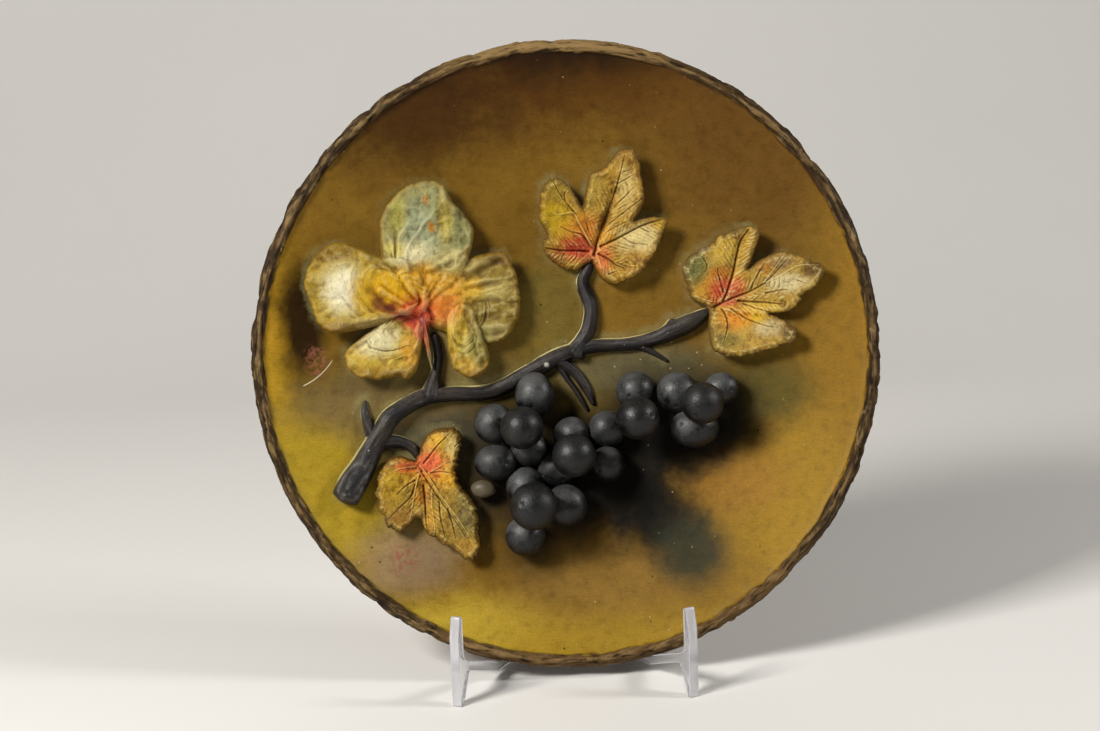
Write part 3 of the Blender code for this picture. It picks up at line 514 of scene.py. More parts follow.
def leafFinish(name, paints):
    # soft patches (x, y, wide and high in millimetres, colour) laid in order over the ground colour
    f = Finish(name)
    ground, light, groove, edge = palette(paints, "ground light groove edge")
    fuzz = (f.stray(0.005, 4.0, 3.0) + f.stray(0.0013, 3.0, 6.0) * 0.5) * paints["fuzz"]
    f.colour = f.tint(f.fade(f.noise(0.01, 3.0, 1.0), 0.35, 0.65), ground, shaded(ground, 0.8))
    for x, y, wide, high, *shade in paints["patches"]:
        f.coat(f.cloud(x, y, 1.45 * wide, 1.45 * high, mm, fuzz), paint(shade))
    proud, inward = f.mark("proud"), f.mark("rim")
    grit = f.noise(0.0011, 4.0, 5.0, 0.7)
    streak = f.noise(0.003, 4.0, 9.0, 0.65, (1.6, 0.8, 1.0))
    mottle = f.noise(0.0062, 5.0, 13.0, 0.6)
    # stains and lights in the paint, then painted highlight where the relief stands proud and painted shade
    # in its hollows
    f.coat(f.fade(streak, 0.5, 0.28) * paints["stain"], (0.48, 0.4, 0.3), "MULTIPLY")
    f.coat(f.fade(mottle, 0.47, 0.32) * paints["stain"], (0.55, 0.5, 0.38), "MULTIPLY")
    f.coat(f.fade(streak, 0.54, 0.76) * 0.6 * paints["stain"], (1.35, 1.3, 1.2), "MULTIPLY")
    f.coat(f.fade(grit, 0.4, 0.7) * 0.35, (1.5, 1.45, 1.4), "MULTIPLY")
    rubbedAndHighlight = f.fade(proud + (grit - 0.5) * 0.6, 0.6, 0.95)
    f.coat(rubbedAndHighlight * f.fade(inward, 0.0006, 0.0026, 0.15, 1.0) * paints["highlight"], light)
    f.coat(f.fade(proud + (grit - 0.5) * 0.35, 0.46, 0.05) * paints["shade"], (0.3, 0.22, 0.14), "MULTIPLY")
    # painted shade in the grooves, and a painted highlight along the raised veins
    f.coat(f.mark("groove") * f.fade(grit, 0.25, 0.5, 0.4, 1.0) * 0.62, groove)
    f.coat(f.mark("vein") * f.fade(grit, 0.3, 0.6, 0.0, 0.4), light)
    # darker towards the edge and over the cut side
    f.coat(f.fade(inward + (mottle - 0.5) * 0.016, 0.006, -0.001) * 0.55, (0.52, 0.42, 0.3), "MULTIPLY")
    f.coat(f.fade(inward + f.stray(0.0045, 5.0, 2.0, 0.65) * 0.011, 0.0022, 0.0) * paints["edging"], edge)
    f.coat(f.mark("side") * 0.85, edge)
    f.coat(f.grains(0.003, 4.0, 0.08, 0.17) * f.fade(f.noise(0.008, 2.0, 8.0), 0.5, 0.62) * 0.7, groove)
    f.coat(1.0, paints["glaze"], "MULTIPLY")
    return f.set(Base_Color=f.colour, Roughness=f.fade(streak, 0.3, 0.7, 0.44, 0.6), Specular_IOR_Level=0.18,
                 Normal=f.bump(grit * 1.1 + streak * 0.8, 0.0003, 0.9))


leafSheet = {
    "around": 420, "cell": 0.27, "thickness": 0.0034, "rise": 0.0003, "crown": 0.0012, "curl": 0.0009,
    "veinSpacing": 2.4, "veinDepth": 0.42, "wave": 0.75, "tool": (0.4, 1.3, 0.12),
}
leafPaint = {"fuzz": 0.6, "shade": 0.85}


leafUpper = {
    **leafSheet, "seed": 3, "place": (0.103, 0.311), "heading": 70.3, "length": 0.357,
    "ragged": 0.00105, "puff": 1.3, "crumbs": 0.28,
    "outline": (
        (180, .05, .8), (164, .08, .8), (152, .13, 1), (146, .22, 2), (121, .35, 4), (106, .43, 5),
        (99, .46, 5), (92, .48, 5), (87, .45, 4.6), (82, .47, 4.5), (75, .57, 6), (67, .65, 6.6),
        (60, .71, 7), (53, .76, 7), (44, .79, 6), (38, .67, 5), (34, .57, 4), (30, .47, 3), (27, .53, 4),
        (24, .6, 5), (20, .73, 6), (11, .78, 6), (7, .87, 6), (3, .97, 6), (-3, 1, 7), (-7, .95, 7.5),
        (-10, .88, 8), (-19, .74, 9), (-25, .66, 9), (-29, .56, 7), (-32, .48, 6), (-35, .53, 7),
        (-39, .61, 8), (-46, .71, 9), (-55, .65, 9), (-67, .56, 9), (-82, .49, 8), (-100, .41, 8),
        (-124, .32, 6), (-142, .22, 3), (-152, .12, 1), (-166, .07, .8)),
    "lines": (
        (-1.3, 1.3, .4, .9, 2.2, 7.6, 5.8, 16.1, 9, 23.7, 12.2, 32),
        (-1.9, 4.4, 6.9, 19, 5, 14.2, 3.2, 9.5), (-1.9, 4.4, 6.4, 17.5, 8.4, 22.2, 10.2, 27),
        (-.8, .8, 12.2, 32, 14.4, 38.8, 16.4, 45.5, 17.8, 50.7),
        (-.6, .6, 16.3, 41.6, 19.2, 42.5, 22.6, 43), (-.8, .7, 14, 36.2, 18.1, 38.2, 22.5, 40.6),
        (-.9, .8, 11.3, 24.5, 15.7, 28.2, 21.7, 33.7),
        (-.9, .8, 8.3, 16, 14.5, 20.1, 22.4, 25.5, 25.8, 27.8), (-.8, .7, 6.9, 11.7, 11.3, 14, 20.1, 17.5),
        (-1.3, 1.1, 3.8, 4.8, 11.1, 7.7, 17.9, 10.8, 23.8, 13.5, 30.1, 15.6, 36.4, 16.8),
        (-.7, .7, 23.8, 13.5, 27.6, 11.4, 32.3, 10.2), (-.8, .7, 15, 9, 19.7, 5.9, 27.3, 4.2),
        (-1.2, 1, 2.6, .9, 7.8, -2.2, 11.5, -5.3, 15.3, -6.9), (-.7, .7, 12, -4.3, 17.2, -6.5, 23, -7.2),
        (-.7, .7, 7.5, -9.9, 12.4, -8.2),
        (.8, 1.2, -1, 5.3, -4.1, 11.7, -7.3, 17.6, -9.5, 22.3, -15.3, 21.8, -20.1, 22.1),
        (-1, .9, -.4, 3.9, -5.6, 10.8, -10.8, 12.5, -16.5, 15.3),
        (-1.2, 1, -2.6, 2.5, -8.3, 3, -16, 3.3, -24.6, 4.8), (-.7, .7, -13.1, 3.4, -16.1, .6, -17.2, -3.2),
        (-.7, .7, -8.3, 3, -9.4, -.6, -13.4, -4.3),
        (-.8, .7, -8.1, 21, -13.1, 27.4, -15.9, 31.4, -18.5, 36.3, -19.8, 40.2),
        (-.7, .7, -13.6, 28.4, -13.9, 32.3, -11.4, 35.1)),
    "paints": {
        **leafPaint, "ground": (175, 140, 55), "light": (222, 204, 140), "groove": (58, 34, 16),
        "edge": (104, 80, 36), "highlight": 0.55, "edging": 0.7, "stain": 0.75, "glaze": (0.86, 0.8, 0.56),
        "patches": (
            (-19.2, 20, 9.6, 11.6, 176, 150, 34), (-17.6, 35.3, 7.7, 7.7, 150, 128, 48),
            (-2.5, 33, 8, 12, 146, 122, 54), (-19, -.2, 5.8, 4.8, 150, 100, 45),
            # the first patch below is a painted highlight on the right half of the middle lobe
            (17.9, 34.9, 4.8, 14.4, 195, 175, 120), (23.6, 7.7, 12.6, 7.8, 208, 194, 152),
            (2.6, 35.5, 5.8, 8.6, 170, 145, 70), (19.5, 50.2, 5.8, 5.8, 150, 115, 45),
            (34.4, 15, 3.8, 3.8, 180, 150, 40), (20.2, -4.7, 8.6, 5.8, 170, 135, 60),
            (-4, 10, 13, 12, 196, 138, 40), (-2.1, 14.5, 6.7, 5.8, 192, 122, 40),
            (6.3, 9.4, 4.8, 4.8, 210, 150, 40), (-8.4, 4.2, 9.4, 6.6, 178, 66, 50),
            (-1.7, 1, 5.6, 5.6, 192, 76, 60), (3.8, -1.8, 5, 7.6, 208, 116, 76))},
}

leafRight = {
    **leafSheet, "seed": 11, "place": (0.484, 0.126), "heading": 17.4, "length": 0.364,
    "ragged": 0.00115, "puff": 1.4, "crumbs": 0.28,
    "outline": (
        (180, .05, .6), (162, .07, .8), (145, .1, 1), (138, .21, 2), (120, .3, 3), (110, .44, 5),
        (102, .48, 5.5), (95, .51, 6), (86, .53, 6), (78, .54, 6), (68, .61, 6.5), (59, .68, 7),
        (53, .73, 7), (48, .77, 7), (41, .76, 9), (38, .68, 9), (36, .6, 8), (33, .52, 6), (30, .46, 5),
        (28, .52, 5.5), (27, .58, 6), (22, .73, 7), (16, .8, 8), (10, .87, 8.5), (5, .94, 9), (0, 1, 8),
        (-6, .92, 8), (-9, .84, 8), (-11, .78, 8), (-21, .68, 8), (-24, .57, 7), (-26, .48, 6),
        (-28, .54, 6.5), (-31, .61, 7), (-36, .73, 8), (-43, .74, 8), (-51, .65, 8), (-65, .54, 8),
        (-84, .48, 8), (-100, .41, 7), (-113, .34, 5), (-123, .2, 3), (-134, .1, 1), (-160, .06, .7)),
    "lines": (
        (-1.2, 1.1, .4, .8, 8.7, 4.4, 18.5, 7.8, 26.3, 11.8),
        (.6, .9, 26.3, 11.8, 34.2, 15.4, 42, 19.4, 49.7, 19.5, 54.5, 18.9),
        (-1.4, 1.1, 4.9, 3.6, 8.1, 11.6, 10.3, 18.2, 12, 25.9, 14.2, 33.5, 18.3, 39.1),
        (-.9, .8, 5.2, 7.9, 2.9, 15.6, 2.2, 20.5), (.6, .8, -.4, 3.3, -4.7, 4.4, -10.4, 6.6, -12.8, 7.1),
        (-1, .9, -1, .4, -5.8, 2.5, -11.4, 5.2),
        (-.9, .8, 8.5, -.9, 14.1, -5, 18.8, -7.6, 25.5, -10.3, 31.2, -11.4),
        (-.9, .8, 3.7, -.7, 5.5, -3.7, 6.3, -9.5, 4, -17.1),
        (-1.2, .9, 12.5, 3.2, 18.3, 2.5, 25, 1.8, 33.6, .5),
        (-.8, .7, 14.4, 1.7, 22, -1.5, 28.6, -3.6, 33.4, -3.8), (-.8, .7, 26.1, 6.5, 33.9, 7.7, 37.7, 7.5),
        (-.6, .6, 41.7, 12.2, 46.5, 10.1), (.6, .8, 17.1, 8.4, 20.7, 14.9, 22.8, 18.7),
        (-.7, .6, 18.5, 7.8, 21.7, 14.9, 25.8, 21.5, 28.8, 25.2),
        (.6, .8, 25.4, 11.9, 30.4, 18.4, 34.5, 24, 35.6, 26.4),
        (-.7, .6, 28.3, 13.7, 34.4, 20.2, 38.4, 24.8), (-.7, .7, -4.8, 25.6, -3.1, 21.7, -4.1, 18.8)),
    "paints": {
        **leafPaint, "ground": (185, 155, 75), "light": (228, 215, 165), "groove": (66, 38, 20),
        "edge": (110, 88, 48), "highlight": 0.6, "edging": 0.75, "stain": 0.75, "glaze": (0.84, 0.79, 0.57),
        "patches": (
            (6.9, 29.9, 7.7, 7.7, 200, 170, 80), (15.5, 29.6, 3.8, 9.6, 180, 145, 60),
            (-10, 22, 8.4, 10.4, 116, 118, 74), (-16.6, 20.6, 2.6, 7.4, 198, 196, 168),
            (-8.2, 30.6, 5.6, 2.6, 168, 166, 150), (-7.5, 7.4, 6.7, 3.8, 190, 150, 60),
            (25.7, 20.5, 4.8, 4.8, 190, 140, 60), (36.9, 11.4, 10.6, 4.8, 215, 205, 175),
            (49.7, 17.7, 6.7, 4.8, 108, 82, 46), (34.4, 22.1, 5.8, 4.8, 150, 125, 90),
            (5, -17.1, 8.6, 4.8, 130, 115, 50), (27.3, -11.3, 7.7, 4.8, 200, 185, 150),
            (36.4, -13.8, 5.2, 4.2, 108, 84, 46), (19.8, -3.6, 8.2, 5.2, 222, 182, 50),
            (30.6, -1.8, 6.7, 2.9, 215, 185, 90), (6, 9, 13, 11, 198, 146, 54),
            (3.5, 17.5, 5.8, 3.8, 185, 122, 50), (9.9, -5.5, 8.2, 6.2, 212, 142, 38),
            (10.9, 9, 5.8, 5.8, 206, 108, 70), (4.4, 8.9, 6.6, 6.6, 202, 84, 64),
            (5.8, 3.5, 7.2, 2.8, 204, 104, 70))},
}

leafLower = {
    **leafSheet, "seed": 23, "place": (-0.489, -0.341), "heading": -61.0, "length": 0.35,
    "ragged": 0.0013, "puff": 1.5, "crumbs": 0.4,
    "outline": (
        (180, .05, .7), (160, .08, .8), (144, .11, 1), (138, .2, 2), (128, .33, 3), (119, .39, 4),
        (111, .44, 5), (99, .49, 6), (91, .47, 6), (84, .43, 6), (72, .38, 6), (64, .37, 6), (53, .36, 6),
        (43, .38, 6), (34, .42, 5), (29, .52, 5), (23, .66, 6), (14, .8, 6), (9, .89, 6.5), (6, .95, 7),
        (0, 1, 7), (-4, .94, 6.5), (-7, .86, 6), (-16, .7, 5), (-23, .62, 5), (-26, .54, 4.2),
        (-28, .49, 4), (-32, .49, 4), (-35, .52, 4), (-41, .58, 4.5), (-47, .63, 5), (-54, .62, 5),
        (-61, .59, 5), (-76, .51, 5), (-86, .46, 5), (-96, .41, 5), (-112, .35, 4), (-133, .27, 3),
        (-146, .19, 2), (-153, .11, 1), (-166, .07, .8)),
    "lines": (
        (.8, 1, 1.1, -.2, 5.3, -6.2, 10.3, -14.5, 15.4, -21.8, 20.5, -29.2, 25.5, -37.5, 27.2, -41.1),
        (-.9, .7, 1, -2.5, 4.3, -8, 9, -15.5, 13.9, -22.8, 19, -30.2, 23.7, -38.1),
        (.7, .9, 1, -2.5, -1.1, -9.5, -2.7, -16.6, -3.9, -23.7, -6, -31.7),
        (.7, .9, -1.2, -.6, -8.8, -1.2, -15.2, -3.6),
        (-.9, .8, -1.8, -9.5, -4, -15.7, -9.6, -20.8, -15.2, -26),
        (-.9, .8, -1.9, -7.7, -6.5, -10.2, -11.1, -14.5),
        (-1.1, .8, 2.4, -10.6, 3, -19.5, 3.4, -30.3, 5, -34.8),
        (.6, .8, 6.8, -12.5, 6.5, -21.5, 7.5, -30.5, 7.2, -36.7),
        (-.9, .8, 10.2, -18.9, 10.7, -27, 12.2, -34.2, 13, -37.8),
        (-.9, .8, 14.5, -22.7, 16.8, -30.8, 18.3, -38.1),
        (.6, .8, 5.4, -4.4, 10.9, -1.1, 15.5, 1.4, 21.8, 3),
        (-.8, .7, 6.3, -4, 12.6, -3.8, 17.9, -4.9, 23.2, -5.6),
        (-1, .8, 2.9, 1, 6.7, 5.4, 10.4, 9.7, 14.1, 13.1, 17.9, 16.6),
        (-.9, .5, 19.3, 8.9, 21.7, 11, 24, 13.6)),
    "paints": {
        **leafPaint, "ground": (166, 138, 58), "light": (222, 205, 150), "groove": (58, 34, 18),
        "edge": (92, 68, 32), "highlight": 0.5, "edging": 0.85, "stain": 0.95, "glaze": (0.84, 0.78, 0.52),
        "patches": (
            (9.6, 12.4, 5.4, 5.4, 220, 175, 60), (18.4, 7.6, 4.5, 7.2, 205, 185, 130),
            (15.1, -6.6, 5.4, 5.4, 215, 170, 50), (-14.4, -7.2, 7.4, 9.2, 184, 152, 46),
            # the first patch below is painted shadow on the upper part of the left lobe
            (-14.1, 1.7, 4.5, 3.6, 140, 110, 60), (-8, -26.3, 6.3, 5.4, 142, 108, 48),
            (4.5, -26.8, 5.4, 7.2, 190, 150, 60), (24.9, -25.6, 8.4, 13.8, 126, 114, 70),
            (24.5, -41.9, 5.4, 4.5, 168, 134, 58), (24.7, -13.3, 4.5, 2.7, 50, 35, 20),
            (1.4, -15, 4.5, 5.4, 190, 130, 45), (6, -2, 11.5, 10.5, 212, 156, 50),
            (5.4, 1.2, 8.4, 7.8, 222, 116, 76), (3, .8, 4.4, 4.2, 216, 96, 72),
            (-5.6, .2, 6.4, 3.8, 206, 104, 58))},
}

makeLeaf("leafUpper", leafUpper, "leaf_upper")
makeLeaf("leafRight", leafRight, "leaf_right")
makeLeaf("leafLower", leafLower, "leaf_lower")


# the pansy: five petals pressed over each other into one crumpled flower, and the pistil
pansy = {
    "place": (-0.463, 0.174), "cell": 0.42, "around": 260, "ragged": 0.0007,
    "thickness": 0.0032, "curl": 0.0012, "folds": 2.1, "wave": 0.6, "crumbs": 0.11,
    "crumple": 1.35, "crimp": 0.7, "drop": 2.2, "lap": 1.2, "bend": 2.2, "tool": (1.6, 2.0, 0.0),
    "petals": (
        {"seed": 31, "place": (-0.463, 0.194), "heading": 82.4, "length": 0.38,
         "rise": 0.0012, "crown": 0.0018, "outline": (
            (180, .1, 1.2), (145, .12, 1.2), (110, .16, 1.4), (80, .24, 1.6), (58, .36, 2), (47, .48, 2.5),
            (33, .71, 4), (23, .84, 5), (11, .95, 5), (0, 1, 5.5), (-7, .97, 6), (-13, .87, 6),
            (-23, .8, 6.5), (-34, .72, 7), (-43, .56, 7), (-58, .4, 5), (-80, .26, 3), (-110, .16, 1.6),
            (-145, .12, 1.2))},
        {"seed": 33, "place": (-0.443, 0.174), "heading": 3.5, "length": 0.3,
         "rise": 0.0018, "crown": 0.0022, "outline": (
            (180, .12, 1.8), (140, .14, 1.9), (105, .2, 2.2), (80, .31, 3), (64, .44, 4), (47, .6, 6),
            (36, .8, 7), (29, .99, 7), (21, 1.02, 6.5), (8, 1.01, 6), (-8, 1, 6), (-21, .96, 6),
            (-32, .88, 5), (-42, .72, 4), (-54, .42, 3), (-75, .26, 2.4), (-105, .18, 2), (-140, .14, 1.9))},
        {"seed": 35, "place": (-0.473, 0.144), "heading": -141.2, "length": 0.281,
         "rise": 0.0014, "crown": 0.0044, "outline": (
            (180, .12, 1.5), (140, .14, 1.6), (110, .18, 1.8), (80, .24, 2.6), (58, .36, 4), (48, .62, 6),
            (40, .76, 6.5), (32, .74, 7), (21, .84, 7), (8, .96, 7), (-4, .99, 6.5), (-13, .9, 6),
            (-20, .6, 5), (-38, .34, 4), (-65, .24, 2.6), (-100, .17, 1.8), (-140, .14, 1.6))},
        {"seed": 37, "place": (-0.463, 0.184), "heading": 166.8, "length": 0.366,
         "rise": 0.003, "crown": 0.0048, "outline": (
            (180, .1, 3), (140, .12, 3), (105, .15, 3.2), (75, .2, 3.8), (46, .34, 5), (36, .58, 6.5),
            (31, .8, 7), (24, .89, 7), (13, .93, 7), (4, .99, 7), (-6, 1, 7), (-17, .95, 6.5),
            (-27, .82, 6), (-38, .52, 5), (-62, .38, 5), (-85, .22, 3.8), (-115, .14, 3.2), (-145, .11, 3))},
        {"seed": 39, "place": (-0.333, 0.174), "heading": -84.0, "length": 0.243,
         "rise": 0.0042, "crown": 0.003, "outline": (
            (180, .1, 4.4), (130, .12, 4.4), (90, .16, 4.8), (62, .22, 5.4), (38, .3, 6), (25, .55, 7),
            (20, .8, 7), (11, .96, 6.5), (0, 1, 6.5), (-12, .9, 7), (-21, .68, 8), (-33, .42, 8),
            (-60, .22, 6), (-95, .15, 4.8), (-135, .12, 4.4))},
    ),
    "lines": (
        (-2.6, 2, -24, 7.5, -19.5, 2, -15.2, -1.9, -8.6, -6.3, -2, -9.2),
        (1.6, 2.5, -48.3, -13.1, -39.5, -9.8, -30.7, -6.6, -20.6, -5.5),
        (-1.2, 1.2, -45, -4.5, -35, -5.7, -24.8, -2.5), (-1, 1.3, -24.2, 29.2, -21.6, 23.4, -18.1, 18.9),
        (-.8, 1, -52.7, 20.3, -45.6, 17.8), (-.8, 1, -50.3, 26, -43.3, 21.4),
        (-.8, 1, -45.1, 30.1, -39.6, 24.1), (-.8, 1, -37.8, 31.5, -35.2, 25.4),
        (-.8, 1, -29.9, 30.2, -30.2, 23.7), (-.8, 1, -55.2, 11.7, -48, 11.4),
        (-.8, 1, -55.5, 4.5, -47.5, 5.7), (-.8, 1, -53.6, -2.7, -46.3, -.2),
        (-.8, 1, -51, -10.1, -45.1, -5.3), (.6, 1.6, -19.6, 18.2, -15.1, 9.8, -9.6, 3.3),
        (-1.2, 1, -20.5, 5, -13, 1.4, -6, -2.2), (-1.2, .9, -19, 10.5, -12, 5.6, -5, .4),
        (.7, 1, -19.5, 8, -12.6, 3.6, -6, -.8), (-1.4, 1, -11.7, 18.6, -8.3, 11.3, -4.3, 5.4, -.8, .9),
        (-1.2, .9, -4.4, 19.1, -2.6, 11.1, -.3, 3.8), (-1, .9, 2.7, 18.1, 2, 9.4, .8, 2.3),
        (-1.3, 1, 11.2, 14.1, 7.4, 7.8, 2.8, 2.2), (-1, .9, 19.1, 11.6, 11.6, 6.2, 4.2, .7),
        (.9, 1.5, 6.3, 17.9, 5.2, 7.9), (1.4, 4, -12.2, 23, -3.4, 26.2, 3.7, 23.8),
        (-1.4, 1.4, 4.1, 15.8, 15.1, 19.7, 25.2, 21.5, 31.1, 22.7),
        (1.2, 1.6, 6.3, 17.9, 16.7, 23.3, 27, 29.3), (-.9, 1.2, 12.2, 56.6, 11.4, 43.7, 9.7, 30.8),
        (.7, 1.2, 15.8, 56.5, 15.3, 43.5, 15.6, 32), (-.7, 1.2, -12.7, 46.1, -10.9, 37.4, -10.5, 28.7),
        (.7, 1.5, -5.2, 53, -6.5, 40.1, -4.7, 29.9), (-.6, 1, 2, 54.1, .9, 44.1, 1.2, 34),
        (-.8, 1.2, 22.6, 46.1, 23, 37.4, 21.2, 28.9),
        (1.8, 2, 26.5, 16.4, 32.4, 20.5, 38.3, 23.8, 44.8, 25),
        (-2, 1.4, 24.9, 12.1, 30.8, 16.2, 38.1, 18.8, 42.5, 20.8),
        (-1.2, 1.1, 24.7, 7.1, 36.3, 8.8, 49.2, 8.3), (.9, 1.3, 27.4, 3.4, 39, 4.3, 50.5, 4.6),
        (-1.3, 1.2, 25.8, -.9, 37.4, .1, 50.3, .3), (.9, 1.3, 27, -6, 38.6, -4.3, 50.9, -4.1),
        (-1.2, 1.1, 25.4, -9.5, 37, -8.6, 50, -7.6), (.8, 1.3, 28.2, -13.2, 38.3, -12.9, 48.4, -11.9),
        (-1.2, 1.1, 26.6, -16.8, 36.7, -17.2, 43.9, -15.3), (-.9, 1, 30.7, -22, 36.5, -22.2, 39.4, -20.9),
        (1.5, 1.8, 24.5, 2.8, 19.8, -7.1, 15.8, -17.1, 14.6, -27.1, 17.2, -34.4),
        (-1.1, 1.1, 22.5, -10.1, 20.7, -20.2, 21.7, -30.3), (-1, .9, 24, -10.2, 26.5, -18.9, 29, -27.7),
        (.6, .9, 24.1, -7.3, 29.5, -16.2, 32, -24.9),
        (-1.6, 1.4, 24.4, 1.3, 24.1, -7.3, 29.5, -16.2, 36.3, -25.1), (-2.2, 3, -.2, -4.9, .9, -9.3),
        (-1.2, .8, -2.7, -9.1, -4.3, -12.7, -5.2, -17.7), (-1.2, .8, 1.8, -6.4, 2.2, -13.6, 2.6, -20.9),
        (-1.2, .8, 5.5, -3.7, 8, -12.4, 9.2, -18.3), (.9, .9, -.4, -6.3, -1.5, -14.9, -1, -20.7),
        (.9, .9, 3.9, -6.5, 4.7, -15.2, 5.4, -22.4), (-.9, 1, -31.7, -13.7, -25.1, -10.4, -19.2, -8.5),
        (-.8, .9, -15.1, -14.4, -9.6, -20.4, -6.9, -24.8), (-.7, .9, -12.7, -26, -7.1, -29.1, -2.8, -30.7),
        (-.9, 1.2, -12.7, -6.6, -6.5, -14.7, -2.5, -23.5)),
    "domes": ((-21.1, -19.9, 8, 1.8), (-37.2, 11, 13, 2.2)),
    "paints": {
        "ground": (158, 136, 64), "light": (226, 216, 172), "groove": (84, 56, 22), "edge": (146, 116, 36),
        "highlight": 0.2, "edging": 0.38, "fuzz": 0.42, "stain": 0.55, "shade": 0.52, "glaze": (0.91, 0.87, 0.68),
        "patches": (
            (-40.1, 9.7, 21.6, 25.9, 174, 148, 44), (-43.8, 27.1, 13, 5, 138, 110, 36),
            (-39.5, -11.2, 14.4, 4.3, 134, 102, 34), (-37.9, 9.3, 12.5, 14, 202, 196, 162),
            (-37.4, 8.8, 9, 10, 224, 220, 208), (-25.9, 6.2, 8.6, 11.5, 196, 164, 46),
            (6.5, 41, 27.4, 25.9, 142, 146, 112), (1.4, 38.3, 9.6, 14, 152, 160, 138),
            (23, 38.9, 7.2, 13, 128, 130, 92), (-9.8, 47.4, 5, 11.5, 158, 154, 84),
            (14.6, 43.5, 4.3, 13, 162, 150, 78), (5.4, 53.7, 1.6, 2.6, 168, 122, 50),
            (7.6, 39.7, 1.8, 3, 180, 128, 48), (-3.4, 26.2, 11.1, 7.5, 208, 204, 176),
            (-12, 28.7, 5.8, 4.3, 196, 186, 112), (16.7, 23.3, 10.1, 4.3, 176, 168, 122),
            (38.8, .7, 17.3, 24.5, 130, 112, 54), (37.6, 6.6, 10.1, 5.8, 168, 154, 98),
            (36.7, -16.5, 10.1, 5.8, 152, 142, 92), (39.7, 23.8, 8.6, 4.3, 124, 98, 42),
            (27.5, 7, 5.8, 5.8, 196, 162, 50), (-21.3, -24.2, 20.2, 14.4, 190, 164, 70),
            (-22.5, -17, 11.5, 8.9, 210, 206, 178), (-6.1, -23.4, 5, 8.6, 196, 148, 52),
            (-20.3, -34.4, 18.7, 3.6, 150, 120, 45), (22.9, -36.1, 5.8, 2.9, 135, 95, 40),
            (18.7, -15.7, 5, 15.9, 204, 176, 62), (22.9, -25.5, 4.3, 8.6, 176, 166, 100),
            (29.3, -21.9, 5, 10.1, 128, 120, 60), (20.5, -32, 6, 5, 196, 164, 70),
            (-11.5, 8.3, 16.8, 11.1, 210, 166, 24), (-12.5, 3.2, 11.5, 7, 212, 162, 12),
            (1.9, 13.8, 8.6, 8.6, 204, 156, 38), (13, 6.4, 13.1, 9.6, 194, 146, 44),
            (12.2, -2.4, 9.2, 8.2, 196, 120, 42), (-1.8, -2.4, 10.9, 7.5, 204, 104, 40),
            (-.8, -6.8, 8.2, 7.2, 190, 70, 52), (.9, -12.7, 4.6, 7.2, 188, 78, 66),
            # the patches below are painted shadow under the lower edge of the left petal, running into the
            # throat
            (-20.8, 1.6, 4, 4.8, 132, 84, 22), (-15.5, -1, 5.4, 3, 118, 56, 26),
            (-9.5, -5.2, 5.6, 2.8, 126, 44, 34))},
}


def pansyHeights(flat, depth):
    middle, seat, _ = seatOf(pansy)
    floor = faceHeight(flat[:, 0] + middle[0], flat[:, 1] + middle[1]) - seat
    top, under = np.full(len(flat), -1.0), np.full(len(flat), 1.0)
    # the petals run into each other in the middle
    pressed = mm * (1.1 - 0.8 * ease(np.hypot(*flat.T), 0.01, 0.026))
    for petal in pansy["petals"]:
        petal = {**pansy, **petal}
        inside = insideBy(flat, [outlineOf(petal, middle)])
        stand, share, bearing = standOff(petal, flat, middle)
        seed = petal["seed"]
        bent = bearing + 9 * lumpy(flat, 0.014, seed=seed + 6)
        fan = np.column_stack((bent * 0.0005 * np.minimum(share + 0.3, 1), share * 0.012))
        folds = petal["folds"] * mm * (0.5 - np.abs(lumpy(fan + seed, 0.0058, seed=seed + 7)) ** 0.9)
        folds *= ease(share, 0.25, 0.7)
        apart = np.abs((bearing - petal["heading"] + 180) % 360 - 180)
        upper = floor + stand + petal["thickness"] + folds - rounded(np.maximum(inside, 0), 0.0022)
        upper -= pansy["drop"] * mm * ease(apart, 40, 80) + 3 * np.maximum(-inside, 0)
        joined = pressed * np.logaddexp(top / pressed, upper / pressed)
        top = np.where(inside > -pansy["lap"] * mm, joined, top)
        under = np.where(inside > -0.2 * mm, np.minimum(under, floor + stand), under)
    lost = under > 0.5
    top[lost], under[lost] = floor[lost] + 5 * mm, floor[lost] + 2 * mm
    high, deep = tooled(flat, pansy["lines"], *pansy["tool"])
    for x, y, size, height in pansy["domes"]:
        off = (flat[:, 0] - x * mm) ** 2 + (flat[:, 1] - y * mm) ** 2
        high += height * mm * np.exp(-off / (0.6 * size * mm) ** 2)
    coarse, small = lumpy(flat, 0.0024, seed=61, octaves=3), lumpy(flat, 0.0013, seed=62)
    crumbs = pansy["crumbs"] * mm * (coarse + 0.6 * np.abs(small))
    bent = np.column_stack([lumpy(flat, 0.01, seed=seed) for seed in (64, 65)])
    bent = flat + pansy["bend"] * mm * bent
    crumpled = 0.35 + 0.65 * ease(flat[:, 0], -0.03, 0.015)
    wave = pansy["wave"] * mm * lumpy(flat, 0.0085, seed=63)
    for share, size, seed in ((1, 0.0078, 66), (0.28, 0.004, 67)):
        wave += share * pansy["crumple"] * mm * (0.35 - np.abs(lumpy(bent, size, seed=seed))) * crumpled
    wave += pansy["crimp"] * mm * lumpy(flat, 0.0045, seed=69) * (1 - ease(depth, 0.001, 0.007))
    carve = (0.9 * high - 0.6 * deep + crumbs + wave) * (0.35 + 0.65 * ease(depth, 0, 0.0018))
    top = np.maximum(top + carve, under + relief["thinnest"])
    return under, top, {"rim": depth, "groove": np.clip(deep / (9.0 * mm), 0, 1), "vein": np.zeros(len(flat))}


print("pansy")
middle, _, pose = seatOf(pansy)
outlines = [outlineOf({**pansy, **petal}, middle) for petal in pansy["petals"]]
laidOn["outlines"] += [outline + middle for outline in outlines]
sheet = slab(outlines, pansy["cell"] * mm, pansyHeights)
petalPaint = leafFinish("petalPaint", pansy["paints"])
piece("pansyPetals", [sheet], petalPaint, ["pansy"], pose)


